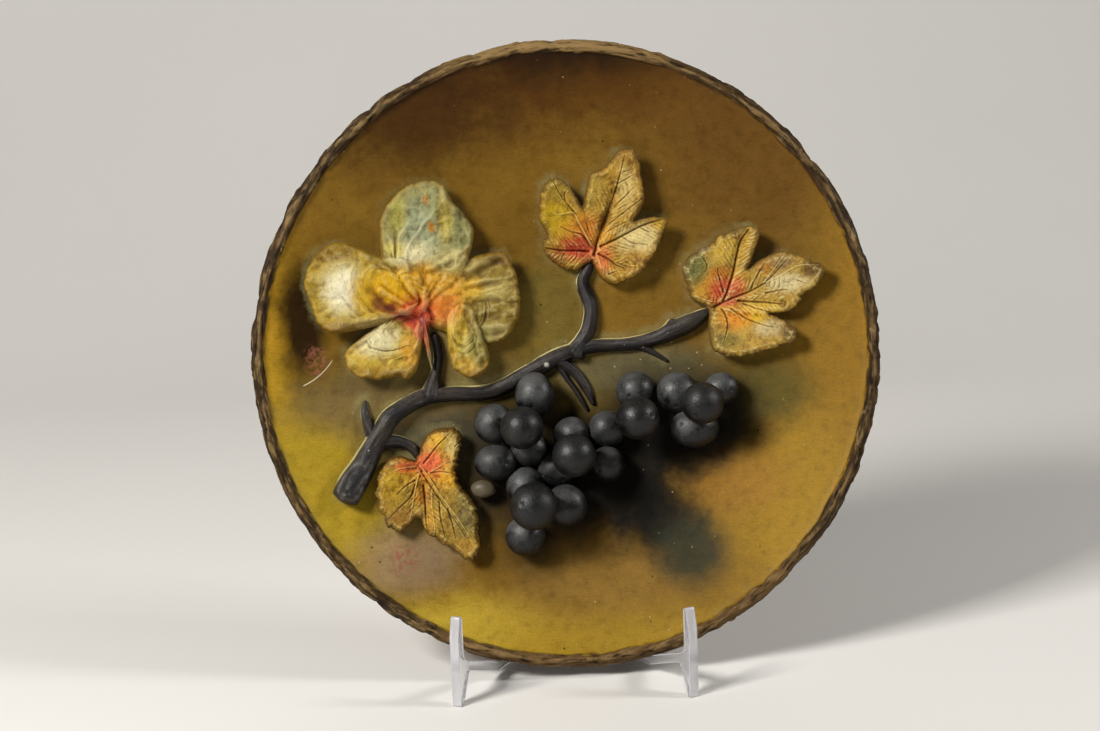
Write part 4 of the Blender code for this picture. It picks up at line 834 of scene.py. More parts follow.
# stalks: the branch with its twigs, and the pistil
branch = {
    "thickness": 0.007, "bed": 0.0003, "sink": 0.62, "sides": 44, "spacing": 0.0008,
    "grooves": 0.15, "knots": 0.06, "flare": 0.34, "foot": 0.0007, "scoop": 0.003, "boot": 0.04,
    "cutShape": (0.007, 0.0085, 0.66), "bootShape": (0.005, 0.009), "flareLength": 0.004,
    "routes": (
        ((-0.718, -0.428, .96), (-0.69, -0.378, .96), (-0.642, -0.3, .76), (-0.611, -0.247, .72),
         (-0.575, -0.188, .69), (-0.519, -0.148, .58), (-0.457, -0.123, .55), (-0.365, -0.116, .50),
         (-0.273, -0.117, .49), (-0.196, -0.096, .52), (-0.119, -0.056, .57), (-0.019, -0.006, .55),
         (0.084, 0.019, .45), (0.206, 0.022, .43), (0.3, 0.04, .49), (0.352, 0.062, .62),
         (0.41, 0.086, .60), (0.446, 0.106, .44), (0.47, 0.12, .26)),
        ((0.03, 0.002, .50), (0.076, 0.075, .48), (0.086, 0.15, .47), (0.064, 0.225, .44),
         (0.082, 0.27, .36), (0.094, 0.293, .26)),
        ((-0.444, -0.118, .52), (-0.424, -0.048, .37), (-0.414, -0.003, .33), (-0.415, 0.036, .30),
         (-0.422, 0.072, .28)),
        ((-0.6, -0.262, .42), (-0.547, -0.264, .39), (-0.509, -0.284, .35), (-0.486, -0.32, .25)),
        ((-0.618, -0.258, .46), (-0.645, -0.205, .33), (-0.655, -0.165, .28), (-0.652, -0.13, .12)),
        ((0.335, 0.052, .44), (0.353, 0.086, .34)),
        ((0.238, 0.018, .27), (0.29, -0.013, .18), (0.327, -0.037, .12)),
        ((-0.036, -0.016, .42), (0.019, -0.054, .37), (0.057, -0.107, .34), (0.082, -0.166, .16)),
        ((-0.022, -0.04, .20), (0.002, -0.085, .19), (0.028, -0.124, .18), (0.062, -0.186, .12))),
    "dark": (20, 18, 18), "slate": (44, 43, 46), "brown": (44, 36, 28), "plum": (42, 34, 33),
    "grey": (96, 90, 82), "light": (196, 186, 128),
    "bead": (-10.1, -5.8, 1.8, 1.8), "glue": (0.6, 0.57, 0.48), "hollow": (0.004, 0.003, 0.003),
    "inCut": (0.006, 0.006, 0.006), "speck": (0.45, 0.42, 0.34),
}
pistil = {"route": ((-0.458, 0.13, 5.2), (-0.444, 0.04, 6.8), (-0.432, -0.03, 5.4)),
          "radius": 0.0017, "taper": 0.5,
          "red": (188, 74, 62), "amber": (170, 96, 44), "straw": (150, 132, 78), "dark": (48, 34, 24)}


def rod(middles, radii, seed, start=False, grooves=0.0, knots=0.0, bed=None, sides=44):
    # a round stalk through its middles; start makes its first end a blunt one with a hollowed, slanting cut
    along = np.append(0, np.cumsum(np.linalg.norm(np.diff(middles, axis=0), axis=1)))
    tangent = np.gradient(middles, axis=0)
    tangent /= np.linalg.norm(tangent, axis=1)[:, None]
    level = np.stack((-tangent[:, 1], tangent[:, 0], np.zeros(len(tangent))), axis=-1)
    level /= np.linalg.norm(level, axis=1)[:, None]
    rise = np.cross(tangent, level)
    ends = np.sin(np.linspace(1.45, 0.25, 6))
    first = [(-k * (0.55 if start else 0.7), math.sqrt(1 - k * k)) for k in ends]
    last = [(k * 0.7, math.sqrt(1 - k * k)) for k in ends[::-1]]
    stations = [(0, shift, size) for shift, size in first] + [(i, 0.0, 1.0) for i in range(len(middles))]
    stations += [(len(middles) - 1, shift, size) for shift, size in last]
    turn = np.linspace(0, math.tau, sides, endpoint=False)
    cos, sin = np.cos(turn), np.sin(turn)
    rows, ridges, levels, sizes = [], [], [], []
    for index, shift, size in stations:
        radius = radii[index]
        at = along[index] + shift * radius
        trunk = turned(turn, 0.0045, np.full(sides, at * 0.1)) + seed
        ridge = lumpy(trunk, 0.0016, seed=seed, octaves=3)
        knot = lumpy(np.array([[at, seed, 0.0]]), 0.006, seed=seed + 5)[0]
        out = radius * size * (1 + grooves * ridge + knots * knot)
        ring = middles[index] + tangent[index] * shift * radius
        ring = ring + out[:, None] * (cos[:, None] * level[index] + sin[:, None] * rise[index])
        rows.append(ring)
        ridges.append(ridge)
        levels.append(level[index])
        sizes.append(radius * size)
    rows = np.array(rows)
    if bed is not None:                    # its foot is spread on the face
        sizes = np.array(sizes)[:, None]
        height = rows[..., 2] - faceHeight(rows[..., 0], rows[..., 1])
        foot = 0.15 * sizes + branch["foot"] * ease(sizes, 0.001, 0.0036)
        foot = foot * (1 - ease(height, bed, 0.0003 + 0.45 * sizes)) * ease(np.abs(cos), 0.2, 0.6)
        rows += (foot * np.sign(cos))[..., None] * np.array(levels)[:, None]
        rows[..., 2] = np.maximum(rows[..., 2], faceHeight(rows[..., 0], rows[..., 1]) + bed)
    walk = np.array([along[index] + shift * radii[index] for index, shift, _ in stations])[:, None]
    at, long, wide = branch["cutShape"]
    hollow = np.exp(-((walk - at) / long) ** 4 - (cos / wide) ** 4) * (sin > 0) * bool(start)
    rows[..., 2] -= branch["scoop"] * hollow
    middle = rows.mean(axis=1, keepdims=True)
    facing = (rows - middle) / np.maximum(np.linalg.norm(rows - middle, axis=2), 1e-6)[..., None]
    upward = facing @ np.array((-0.45, 0.8, 0.3))
    order = np.array([along[index] / along[-1] for index, _, _ in stations])[:, None]
    low = 1 - ease(rows[..., 2] - faceHeight(rows[..., 0], rows[..., 1]), 0.0011, 0.0026)
    low *= ease(np.array(sizes).reshape(-1, 1), 0.0014, 0.0026)
    return shell(rows, ridge=np.array(ridges), upward=upward, along=order, cut=hollow, low=low)


def placed(route, unit, spacing):
    # an even route on the dish, with its points' third numbers in the given unit
    return smoothRoute([(*onDish(point), point[2] * unit) for point in route], spacing)


def stalk(route, seed, start=False, flare=0.0):
    x, y, radius = placed(route, branch["thickness"], branch["spacing"]).T
    middles = np.stack((x, y, faceHeight(x, y) + branch["bed"] + branch["sink"] * radius), axis=-1)
    walked = np.append(0, np.cumsum(np.hypot(np.diff(x), np.diff(y))))
    boot = branch["boot"] if start else 0
    at, long = branch["bootShape"]
    radius = radius * (1 + flare * bell(walked, branch["flareLength"], 1) + boot * bell(walked - at, long))
    return rod(middles, radius, seed, start, *(branch[key] for key in ("grooves", "knots", "bed", "sides")))


def branchFinish():
    f = Finish("paintedBark")
    ridge, upward, cut = f.mark("ridge"), f.mark("upward"), f.mark("cut")
    fleck = f.noise(0.0035, 4.0, 3.0, 0.65)
    dark, slate, brown, plum, grey, light = palette(branch, "dark slate brown plum grey light")
    f.colour = f.tint(f.fade(f.noise(0.014, 3.0, 1.0), 0.38, 0.62), dark, brown)
    f.coat(f.fade(f.noise(0.022, 3.0, 5.0), 0.48, 0.62) * 0.8, plum)
    f.coat(f.fade(ridge + (fleck - 0.5) * 0.8, -0.05, 0.5) * 0.75, slate)
    f.coat(f.fade(ridge, -0.1, -0.55) * 0.7, branch["hollow"])
    # pale grey on the upper side and on the ridges: dust and painted light
    dustAndLight = f.fade(upward + f.stray(0.006, 5.0, 8.0, 0.7) * 1.6, 0.55, 1.25)
    f.coat(dustAndLight * 0.45 + f.fade(ridge + (fleck - 0.5) * 1.4, 0.3, 0.75) * 0.45, grey)
    seam = f.mark("low") * f.fade(upward + (fleck - 0.5) * 0.5, 0.05, 0.35)
    f.coat(seam * f.fade(f.noise(0.01, 3.0, 6.0), 0.3, 0.46) * 0.9, light)
    # the slanting cut, with painted shade in its hollow and a painted highlight on its lip
    f.coat(f.fade(cut, 0.3, 0.8) * f.fade(fleck, 0.35, 0.65, 0.6, 1.0), branch["inCut"])
    f.coat(f.fade(cut, 0.02, 0.14) * f.fade(cut, 0.36, 0.2) * f.fade(fleck, 0.4, 0.62, 0.0, 0.45), grey)
    bead = f.cloud(*branch["bead"], mm, (fleck - 0.5) * 0.5)
    f.coat(bead, branch["glue"])
    f.coat(f.grains(0.008, 2.0, 0.03, 0.07) * 0.6, branch["speck"])
    height = f.noise(0.0009, 4.0, 2.0, 0.6) + fleck + bead * 2.0
    return f.set(Base_Color=f.colour, Roughness=f.fade(fleck, 0.3, 0.7, 0.4, 0.6), Specular_IOR_Level=0.35,
                 Normal=f.bump(height, 0.0003, 0.9))


def pistilFinish():
    f = Finish("paintedPistil")
    along = f.mark("along") + f.stray(0.002, 3.0, 3.0) * 0.25
    red, amber, straw, dark = palette(pistil, "red amber straw dark")
    f.colour = f.tint(f.fade(along, 0.2, 0.5), red, amber)
    f.coat(f.fade(along, 0.5, 0.8), straw)
    f.coat(f.fade(f.mark("ridge") + f.stray(0.0014, 4.0, 5.0), 0.2, -0.4) * 0.7, dark)
    # painted shade on its lower side towards its end
    f.coat(f.fade(along, 0.55, 0.95) * f.fade(f.mark("upward"), 0.45, 0.0), dark)
    return f.set(Base_Color=f.colour, Roughness=f.fade(f.noise(0.002, 3.0), 0.3, 0.7, 0.44, 0.58),
                 Normal=f.bump(f.noise(0.001, 4.0, 2.0), 0.0003, 0.8))


print("branch")
stalks = [stalk(route, number + 1, number == 0, branch["flare"] if number else 0.0)
          for number, route in enumerate(branch["routes"])]
piece("branchGrooved", stalks, branchFinish(), ["branch"])
for route in branch["routes"]:
    line = placed(route, branch["thickness"], 0.004)
    laidOn["routes"].append((line[:, :2], line[:, 2].mean()))

print("pistil")
x, y, height = placed(pistil["route"], mm, 0.0007).T
share = np.linspace(0, 1, len(x))
beads = 1 + 0.1 * np.sin(share * 19)
radii = pistil["radius"] * (1 - pistil["taper"] * share) * beads
middles = np.stack((x, y, faceHeight(x, y) + height), axis=-1)
skin = rod(middles, radii, 17, grooves=0.14, knots=0.05, sides=36)
piece("pistil", [skin], pistilFinish(), ["pansy"])


# grapes: each a rolled ball with its pip's dimple, dusty bloom and painted light on its upper side, painted
# shade beneath, and cream glue where it touches the next
grapes = {
    "count": 21, "around": 64, "down": 34, "unevenness": 0.012, "pipDepth": 0.0007, "stub": 21,
    "oval": {2: (.95, 1.12, 1), 3: (1.2, 1.03, 1.05), 4: (1.14, 1.06, 1.05), 5: (1.06, 1.06, 1),
             7: (1.07, 1.08, 1), 9: (1.24, 1.16, 1.1), 11: (1.16, 1.12, 1.1), 13: (1.09, 1.06, 1),
             14: (1.12, 1.02, 1), 15: (1.34, 1.06, 1.1), 21: (1.32, .96, 1)},
    "skin": (25, 27, 29), "black": (5, 5, 6), "bloom": (94, 95, 95), "brown": (46, 42, 41),
    "glue": (150, 140, 112), "pip": (8, 7, 7), "stubPaint": (88, 78, 58),
}


def grapeFinish():
    f = Finish("paintedGrape")
    cloudy = f.noise(0.0075, 4.0, 4.0, 0.6)
    grit = f.noise(0.0009, 3.0, 3.0, 0.7)
    upward, front = f.mark("upward"), f.mark("front")
    black, skin, bloom, brown, pip, glue, stub = palette(grapes, "black skin bloom brown pip glue stubPaint")
    f.colour = f.tint(f.fade(cloudy, 0.35, 0.65), black, skin)
    f.coat(f.fade(f.noise(0.016, 3.0, 9.0), 0.5, 0.72) * 0.45, brown)
    # bloom on the upper side: dust and painted light
    dustAndLight = f.fade(upward + (cloudy - 0.5) * 1.5 + (grit - 0.5), 0.05, 1.1) * 0.62
    browner = tuple(0.5 * (a + b) for a, b in zip(bloom, brown))
    f.coat(dustAndLight * (1 - front * 0.65), f.tint(f.fade(f.noise(0.02, 2.0, 14.0), 0.45, 0.6), bloom, browner))
    # painted shade: the undersides darkened towards black
    f.coat(f.fade(upward, 0.25, -0.55) * 0.9, black)
    f.coat(front * 0.6, black)
    f.coat(f.grains(0.0017, 5.0, 0.08, 0.2) * f.fade(f.noise(0.006, 2.0, 2.0), 0.46, 0.58) * 0.5, bloom)
    f.coat(f.mark("pip") * 0.9, pip)
    stuck = f.mark("touch") * f.fade(f.noise(0.0022, 3.0, 7.0), 0.5, 0.6)
    f.coat(stuck * 0.6, glue)
    f.coat(f.mark("stub") * f.fade(grit, 0.2, 0.6, 0.6, 1.0), stub)
    height = f.noise(0.0011, 3.0, 1.0) + cloudy * 1.5 + stuck * 2.0
    return f.set(Base_Color=f.colour, Roughness=f.fade(cloudy, 0.3, 0.7, 0.38, 0.52) + stuck * 0.3,
                 Specular_IOR_Level=0.38, Normal=f.bump(height, 0.00022, 0.8))


def grapeSkin(number, middle, radius, others, front):
    # the skin of one grape in the dish's frame; its pole is the pip
    pip = Vector((math.sin(number * 2.4) * 0.9, math.cos(number * 1.7) * 0.7 - 0.3, 1.1)).normalized()
    polar = np.linspace(0.03, math.pi - 0.03, grapes["down"])[:, None]
    turn = np.linspace(0, math.tau, grapes["around"], endpoint=False)[None]
    unit = turned(turn, np.sin(polar), np.broadcast_to(np.cos(polar), (grapes["down"], grapes["around"])))
    unit = unit @ np.array(pip.to_track_quat("Z", "Y").to_matrix()).T
    stub = float(number == grapes["stub"])
    uneven = (grapes["unevenness"] + 0.12 * stub) * lumpy(unit * 0.01 + number, 0.009, seed=number * 3 + 100)
    pit = bell(polar * radius, 0.0009) * (1 - stub)
    out = radius * (1 + uneven) - grapes["pipDepth"] * pit
    points = middle + out[..., None] * unit * grapes["oval"].get(number, (1, 1, 1))
    gaps = [np.abs(np.linalg.norm(points - place, axis=2) - size) for place, size in others]
    return shell(points, upward=unit @ np.array((-0.35, 0.8, 0.48)), pip=pit * np.ones_like(out),
                 touch=bell(np.min(gaps, axis=0), 0.0007, 1), front=front, stub=stub)


print("grapes")
backToDish = leanOver.inverted()
balls = []
for number in range(1, grapes["count"] + 1):
    points = np.array([tuple(backToDish @ v.co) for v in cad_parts[f"grape_{number:02d}"].data.vertices])
    middle = (points.min(axis=0) + points.max(axis=0)) / 2
    balls.append((middle, np.linalg.norm(points - middle, axis=1).max()))
grapePaint = grapeFinish()
laidOn["balls"] = balls
for number, (middle, radius) in enumerate(balls, start=1):
    others = [ball for ball in balls if ball[0] is not middle]
    covers = [np.hypot(*(middle - place)[:2]) < radius + size and middle[2] > place[2] + 0.006
              for place, size in others]
    skin = grapeSkin(number, middle, radius, others, float(any(covers)))
    piece(f"grape{number:02d}", [skin], grapePaint, [f"grape_{number:02d}"])


# the dish itself, with dust gathered round what lies on it

def lump(angle):
    # 1 in the nick between two lumps of the rim, 0 on a crown
    phase = angle * dish["lumps"] / math.tau + 0.9 * np.sin(3 * angle + 0.7) + 0.5 * np.sin(7 * angle + 2.1)
    return 1.0 - np.abs(np.sin(math.pi * phase)) ** 0.6


def dishSection():
    # half section from the middle of the face over the rim to the middle of the back
    def under(across):
        return across, float(faceHeight(across, 0)) - dish["wall"]

    edge, width, step, thick = dish["radius"], dish["rimWidth"], dish["rimStep"], dish["rimThickness"]
    shares = np.linspace(0.004, 0.985, dish["faceRows"])
    face = [(share * faceRadius, float(faceHeight(share * faceRadius, 0))) for share in shares]
    rim = smoothRoute([
        (faceRadius, -step), (faceRadius + 0.18 * width, -0.45 * step), (faceRadius + 0.5 * width, 0.0),
        (edge - 0.16 * width, -0.16 * thick), (edge, -0.52 * thick), (edge - 0.1 * width, -0.88 * thick),
        (edge - 0.35 * width, -1.02 * thick), under(0.94 * faceRadius)], 0.00055).tolist()
    back = [under(share * faceRadius) for share in np.linspace(0.92, 0.4, 18)]
    outside, inside = dish["ringRadius"], dish["ringRadius"] - dish["ringWidth"]
    root = 0.35 * dish["ringHeight"]
    half = dishBack - dish["depth"] - dish["wall"]
    ring = smoothRoute([
        under(outside + root), (outside + 0.3 * root, 0.5 * (half + 0.0012)),
        (outside - 0.0004, dishBack + 0.0003), (outside - 0.0016, dishBack),
        (inside + 0.0016, dishBack), (inside + 0.0004, dishBack + 0.0003),
        (inside - 0.3 * root, 0.5 * (half + 0.0004)), under(inside - root)], 0.001).tolist()
    middle = [under(share * inside) for share in (0.85, 0.6, 0.3, 0.02)]
    return np.array(face + rim + back + ring + middle), len(face), len(face) + len(rim)


def hangingHoles(rows):
    # pits pressed into both walls of the ring, which meet in its middle, and the share of painted shade in
    # them
    middle = dish["ringRadius"] - 0.5 * dish["ringWidth"]
    radial = np.hypot(rows[..., 0], rows[..., 1])
    onWall = (rows[..., 1] > 0) & (np.abs(radial - middle) < 0.6 * dish["ringWidth"])
    dark = np.zeros(radial.shape)
    for side in (-1, 1):
        height = rows[..., 2] - dishBack - 0.5 * dish["ringHeight"]
        off = np.hypot(rows[..., 0] - side * dish["holeSpacing"] / 2, height)
        pit = (1 - ease(off, 0.42 * dish["holeWidth"], 0.62 * dish["holeWidth"])) * onWall
        rows[..., 1] += pit * 0.44 * dish["ringWidth"] * np.sign(middle - radial)
        dark = np.maximum(dark, pit)
    return dark


def rimRelief(turn, across, edge, slant):
    # strands that run along the rim, torn flaps and a few slanting nicks
    strands = 1 - 2.2 * np.abs(lumpy(slant, 0.0017, seed=3, octaves=3))
    flaps = lumpy(edge * (0.3, 0.3, 1.0), 0.004, seed=9, octaves=3)
    torn = ease(flaps, 0.1, 0.22) - ease(lumpy(edge * (0.4, 0.4, 1), 0.0046, seed=11), 0.28, 0.4)
    nicks = lump(turn + (across - 0.004) * 2.2) * ease(lumpy(edge, 0.016, seed=12), -0.25, 0.25)
    return dish["strands"] * 0.55 * strands + dish["torn"] * 0.6 * torn - dish["lumpDepth"] * nicks, torn


# offsets and reaches for the dust and for the painted shade under the grapes
dustAndShade = {
    "besideSheets": (0.0016, -0.0016), "besideStalks": (0.0012, -0.0012), "dustReach": 0.0055,
    "shadeShift": (0.004, -0.0055), "shadeStrength": 0.92, "shadeReach": 1.55,
}


def gathered(face):
    # dust round what lies on the face, and the painted shade under the grapes
    near = -insideBy(face + dustAndShade["besideSheets"], laidOn["outlines"])
    for line, size in laidOn["routes"]:
        near = np.minimum(near, farFrom(face + dustAndShade["besideStalks"], line)[0] - size)
    clear = np.ones(len(face))
    for middle, size in laidOn["balls"]:
        off = np.hypot(*(face - middle[:2] - dustAndShade["shadeShift"]).T)
        clear *= 1 - dustAndShade["shadeStrength"] * bell(off, dustAndShade["shadeReach"] * size)
    return bell(np.maximum(near, 0), dustAndShade["dustReach"], 1), 1 - clear


def dishSkin():
    section, rimFrom, rimTo = dishSection()
    slope = np.gradient(section, axis=0)
    slope /= np.hypot(*slope.T)[:, None]
    outward = np.stack((-slope[:, 1], slope[:, 0]), axis=-1)      # off the section, to the outside
    walked = np.append(0, np.cumsum(np.hypot(*np.diff(section, axis=0).T)))
    start, end, foot = walked[rimFrom], walked[rimTo], walked[rimTo - 9]
    onRim = ease(walked, start - 0.0004, start + 0.0024)
    onRim *= 1 - ease(walked, walked[rimTo - 6] - 0.004, walked[rimTo - 1])
    turn, walk = np.meshgrid(np.linspace(0, math.tau, dish["around"], endpoint=False), walked)
    weight, across = onRim[:, None], walk - start
    edge = turned(turn, dish["radius"], across)
    slant = edge * (0.17, 0.17, 1)
    slant[..., 2] += 0.0011 * np.sin(23 * turn)
    carved, torn = rimRelief(turn, across, edge, slant)
    lift = weight * carved
    flat = turned(turn, section[:, :1])
    lift += dish["waver"] * lumpy(flat, 0.045, seed=21) * (1 - weight) * (walk < start)
    lift += dish["backGrain"] * lumpy(flat, 0.006, seed=23) * (1 - weight) * (walk > end)
    around = sum(np.roll(lift, step, axis=1) for step in (-4, -2, 0, 2, 4)) / 5
    blurred = sum(np.roll(around, step, axis=0) for step in (-3, -1, 0, 1, 3)) / 5
    reach, height = (section[:, i, None] + outward[:, i, None] * lift for i in (0, 1))
    rows = turned(turn, reach, height)
    dark = hangingHoles(rows)
    ledge = 0.0011 * lumpy(flat, 0.006, seed=31, octaves=3) + 0.0005 * torn
    behind = ease(walk + 2 * ledge, foot - 0.001, foot + 0.002)
    band = ease(walk + ledge, start + 0.001, start + 0.002) * (1 - behind)
    strand = 0.5 + 0.5 * lumpy(slant * (1.0, 1.0, 1.2), 0.0015, seed=6, octaves=3)
    crown = bell(across - 0.0048 - 0.0012 * lumpy(edge * (0.3, 0.3, 0), 0.006, seed=8), 0.001) * weight
    dust, shade = np.zeros(turn.shape), np.zeros(turn.shape)
    for field, values in zip((dust, shade), gathered(flat[:rimFrom].reshape(-1, 2))):
        field[:rimFrom] = values.reshape(rimFrom, -1)
    proud = np.clip(0.5 + (lift - blurred) / 0.0009, 0, 1)
    return shell(rows, band=band, behind=behind, proud=proud, rim=weight, hole=dark, dust=dust, shade=shade,
                 strand=strand, crown=crown)


# airbrushed patches and painted shade over the face: x, y, wide and high as shares of the radius, strength
# and colour
airbrushAndShade = {
    "base": (116, 88, 28),
    "patches": (
        # painted shade, brown, under the top of the rim
        (.1, .96, 1.2, .42, .95, 72, 44, 7), (.05, 1, .9, .18, .92, 30, 15, 2),
        (-.46, .8, .5, .34, .85, 52, 29, 5), (.62, .66, .55, .5, .85, 88, 60, 18),
        (-.2, .48, .4, .28, .6, 104, 76, 20),
        # yellow along the left edge and round the bottom
        (-1, .1, .3, .62, .95, 162, 126, 30), (-.8, -.42, .55, .52, .95, 150, 127, 34),
        (-.4, -.92, .5, .22, .95, 165, 142, 46), (.16, -.98, .8, .26, .9, 139, 112, 30),
        (.8, -.52, .46, .56, .9, 146, 115, 34), (1, .05, .36, .66, .85, 132, 99, 28),
        (.1, -.72, .46, .2, .75, 120, 92, 40),
        # greyed along the branch and the bunch
        (-.02, -.14, .8, .26, .75, 92, 80, 36), (.24, -.06, .36, .12, .85, 92, 87, 62),
        (-.52, -.04, .4, .17, .7, 98, 86, 52), (-.42, -.26, .34, .17, .9, 70, 67, 55),
        (-.32, -.46, .2, .2, .8, 62, 56, 40),
        # an orange glow, then blue-black smudges, partly painted shadow right of and below the bunch
        (.54, -.43, .26, .17, .6, 138, 98, 38), (.31, -.29, .34, .17, .98, 8, 6, 4),
        (.49, -.24, .25, .15, .95, 12, 9, 6), (.14, -.44, .32, .27, .98, 8, 7, 4),
        (.28, -.54, .2, .19, .95, 9, 9, 7), (.38, -.65, .17, .17, .9, 42, 45, 33),
        (.64, -.14, .22, .15, .8, 72, 66, 27), (-.05, .16, .22, .22, .7, 96, 86, 38),
        # deep painted shade beside the pansy, and grey by the lower leaf
        (-.84, .12, .12, .34, .97, 30, 16, 4), (-.7, -.14, .3, .15, .8, 100, 84, 54),
        (-.53, -.64, .26, .16, .75, 132, 112, 90),
    ),
    "worn": ((-.795, 0, .06, .075), (-.545, -.64, .075, .07)),
    "clay": (140, 86, 66), "dust": (176, 164, 122), "halo": (138, 128, 84), "soot": (26, 19, 12),
    "scratch": (200, 188, 160), "cast": (14, 11, 8),
    "arc": {"middle": (-0.148, 0.019, 0.0), "radius": 0.033, "part": (-0.1275, -0.006, 0.01, 0.0165)},
}
rimPaint = {
    "hollow": (26, 18, 10), "brown": (50, 36, 19), "tan": (98, 74, 43), "crest": (140, 114, 72),
    "cream": (190, 174, 128),
    # paler patches: painted light makes the top of the rim paler; it is paler along the bottom too
    "paler": ((.08, 1, .9, .22, "tan"), (0, -1, .8, .3, "tan"), (.6, -.8, .34, .3, "tan"),
              (-.02, 1, .62, .16, "crest")),
}
backClay = {"light": (162, 115, 84), "dark": (126, 84, 62)}


def facePaint(f, grain, mottle, fuzz):
    # the airbrushed face, with its painted shade, dust, worn patches, specks and a scratch
    radius = dish["radius"]
    base, clay, dust, halo, soot, scratch, cast = palette(airbrushAndShade, "base clay dust halo soot scratch cast")
    f.colour = f.tint(f.fade(f.noise(0.045, 3.0, 1.0), 0.35, 0.65), base, shaded(base, 0.85))
    for x, y, wide, high, strength, *shade in airbrushAndShade["patches"]:
        f.coat(f.cloud(x, y, wide, high, radius, fuzz) * strength, paint(shade))
    f.coat(f.mark("shade") * 0.96, cast)
    weave = f.noise(0.0016, 3.0, 4.2, 0.7, (0.35, 1.6, 1.0))
    f.coat(f.fade(mottle, 0.35, 0.75, 0.0, 0.35), (1.4, 1.32, 1.1), "MULTIPLY")
    f.coat(f.fade(mottle, 0.5, 0.25, 0.0, 0.45), (0.66, 0.6, 0.5), "MULTIPLY")
    f.coat(f.fade(grain, 0.45, 0.75, 0.0, 0.55), (1.7, 1.6, 1.5), "MULTIPLY")
    f.coat(f.fade(weave, 0.48, 0.25, 0.0, 0.5), (0.62, 0.56, 0.46), "MULTIPLY")
    # dust that gathers round the relief, and a light line of paint pushed up against it
    dustAndLight = f.fade(f.mark("dust") + f.stray(0.004, 4.0, 12.0, 0.7) * 0.9, 0.45, 1.15)
    patchy = f.fade(f.noise(0.024, 3.0, 16.0), 0.38, 0.62, 0.15, 0.85)
    f.coat(dustAndLight * f.fade(grain, 0.25, 0.65, 0.25, 0.95) * patchy, halo)
    for spot in airbrushAndShade["worn"]:
        worn = f.cloud(*spot, radius, fuzz * 1.2)
        f.coat(worn * f.fade(f.noise(0.0022, 3.0, 4.4), 0.4, 0.62) * 0.85, clay)
    f.coat(f.grains(0.0075, 1.7, 0.035, 0.075) * f.fade(f.noise(0.03, 2.0, 6.1), 0.44, 0.6) * 0.75, dust)
    f.coat(f.grains(0.0105, 9.2, 0.03, 0.075) * f.fade(f.noise(0.024, 2.0, 7.3), 0.46, 0.62) * 0.8, soot)
    arc = airbrushAndShade["arc"]
    line = f.fade(abs(f.away(arc["middle"], (1.0, 1.0, 0.0)) - arc["radius"]), 0.00034, 0.00016)
    f.coat(line * f.fade(f.cloud(*arc["part"], 1), 0.05, 0.25), scratch)
    return weave, dustAndLight


def barkPaint(f, fuzz):
    # the rim: dark hollows, brown strands with tan crests; painted light makes it paler at the top, and it is
    # paler along the bottom too
    radius = dish["radius"]
    hollow, brown, tan, crest, cream = palette(rimPaint, "hollow brown tan crest cream")
    proud = f.mark("proud")
    x, y, z = (f.node("SeparateXYZ", None, {0: f.spot()}, axis) for axis in "XYZ")
    bearing = f.node("Math", {"operation": "ARCTAN2"}, {0: x, 1: 0 - y})
    across = f.node("Math", {"operation": "SQRT"}, {0: x * x + y * y})
    ringed = f.node("CombineXYZ", None, {"X": bearing * (0.16 * radius), "Y": across, "Z": z})
    strand = f.mark("strand") * 0.3 + f.noise(0.0013, 5.0, rough=0.65, where=ringed) * 0.7
    bark = brown
    for *spot, shade in rimPaint["paler"]:
        bark = f.tint(f.cloud(*spot, radius, fuzz) * 0.8, bark, paint(rimPaint[shade]))
    ridge = 0.5 + (proud - 0.5) * 0.45 + (strand - 0.5) * 2.8
    crown = f.mark("crown") * f.fade(f.noise(0.011, 4.0, 19.0, 0.65), 0.36, 0.6) * f.fade(strand, 0.3, 0.55)
    rubbedAndHighlight = f.fade(f.noise(0.012, 4.0, 17.0, 0.65), 0.6, 0.72) * f.fade(proud, 0.62, 0.9)
    browner = f.fade(f.noise(0.013, 4.0, 12.0, 0.6), 0.48, 0.66)
    for share, shade in (
            (browner * 0.25, tan), (f.fade(ridge, 0.58, 1.0) * 0.55, crest), (crown * 0.8, crest),
            (f.fade(ridge, 0.44, 0.05) * 0.85, hollow), (rubbedAndHighlight * 0.45, cream),
            (f.fade(strand, 0.46, 0.36) * 0.6, hollow)):
        bark = f.tint(share, bark, shade)
    smudge = f.fade(f.mark("rim"), 0.0, 0.5) * f.fade(f.noise(0.009, 4.0, 14.0), 0.42, 0.62) * 0.75
    f.coat(smudge, brown)
    f.coat(f.mark("band"), bark)
    return strand


def dishFinish():
    f = Finish("paintedOchre")
    fuzz = f.stray(0.016, 4.0, 3.1) * 0.55 + f.stray(0.0035, 2.0, 5.7) * 0.22
    mottle = f.noise(0.006, 5.0, 8.3, 0.6)
    grain = f.noise(0.0007, 3.0, 2.2, 0.75)
    weave, dustAndLight = facePaint(f, grain, mottle, fuzz)
    strand = barkPaint(f, fuzz)
    # the back: bare clay, with painted shade in the hanging holes
    band, behind = f.mark("band"), f.mark("behind")
    light, dark = palette(backClay, "light dark")
    bare = f.tint(f.fade(f.noise(0.02, 5.0, 22.0), 0.35, 0.65), light, dark)
    bare = f.tint(f.fade(f.noise(0.0016, 4.0, 25.0), 0.55, 0.8) * 0.6, bare, shaded(dark, 0.6))
    f.coat(behind, f.tint(f.mark("hole") * 0.9, bare, paint(airbrushAndShade["soot"])))
    rough = f.fade(mottle, 0.3, 0.7, 0.38, 0.52) + band * 0.1 + behind * 0.34 + dustAndLight * 0.12
    height = grain * 0.7 + weave * 0.5 + mottle * 0.8 + band * strand * 6.0
    return f.set(Base_Color=f.colour, Roughness=rough, Specular_IOR_Level=0.11,
                 Normal=f.bump(height, 0.00024, 0.8))


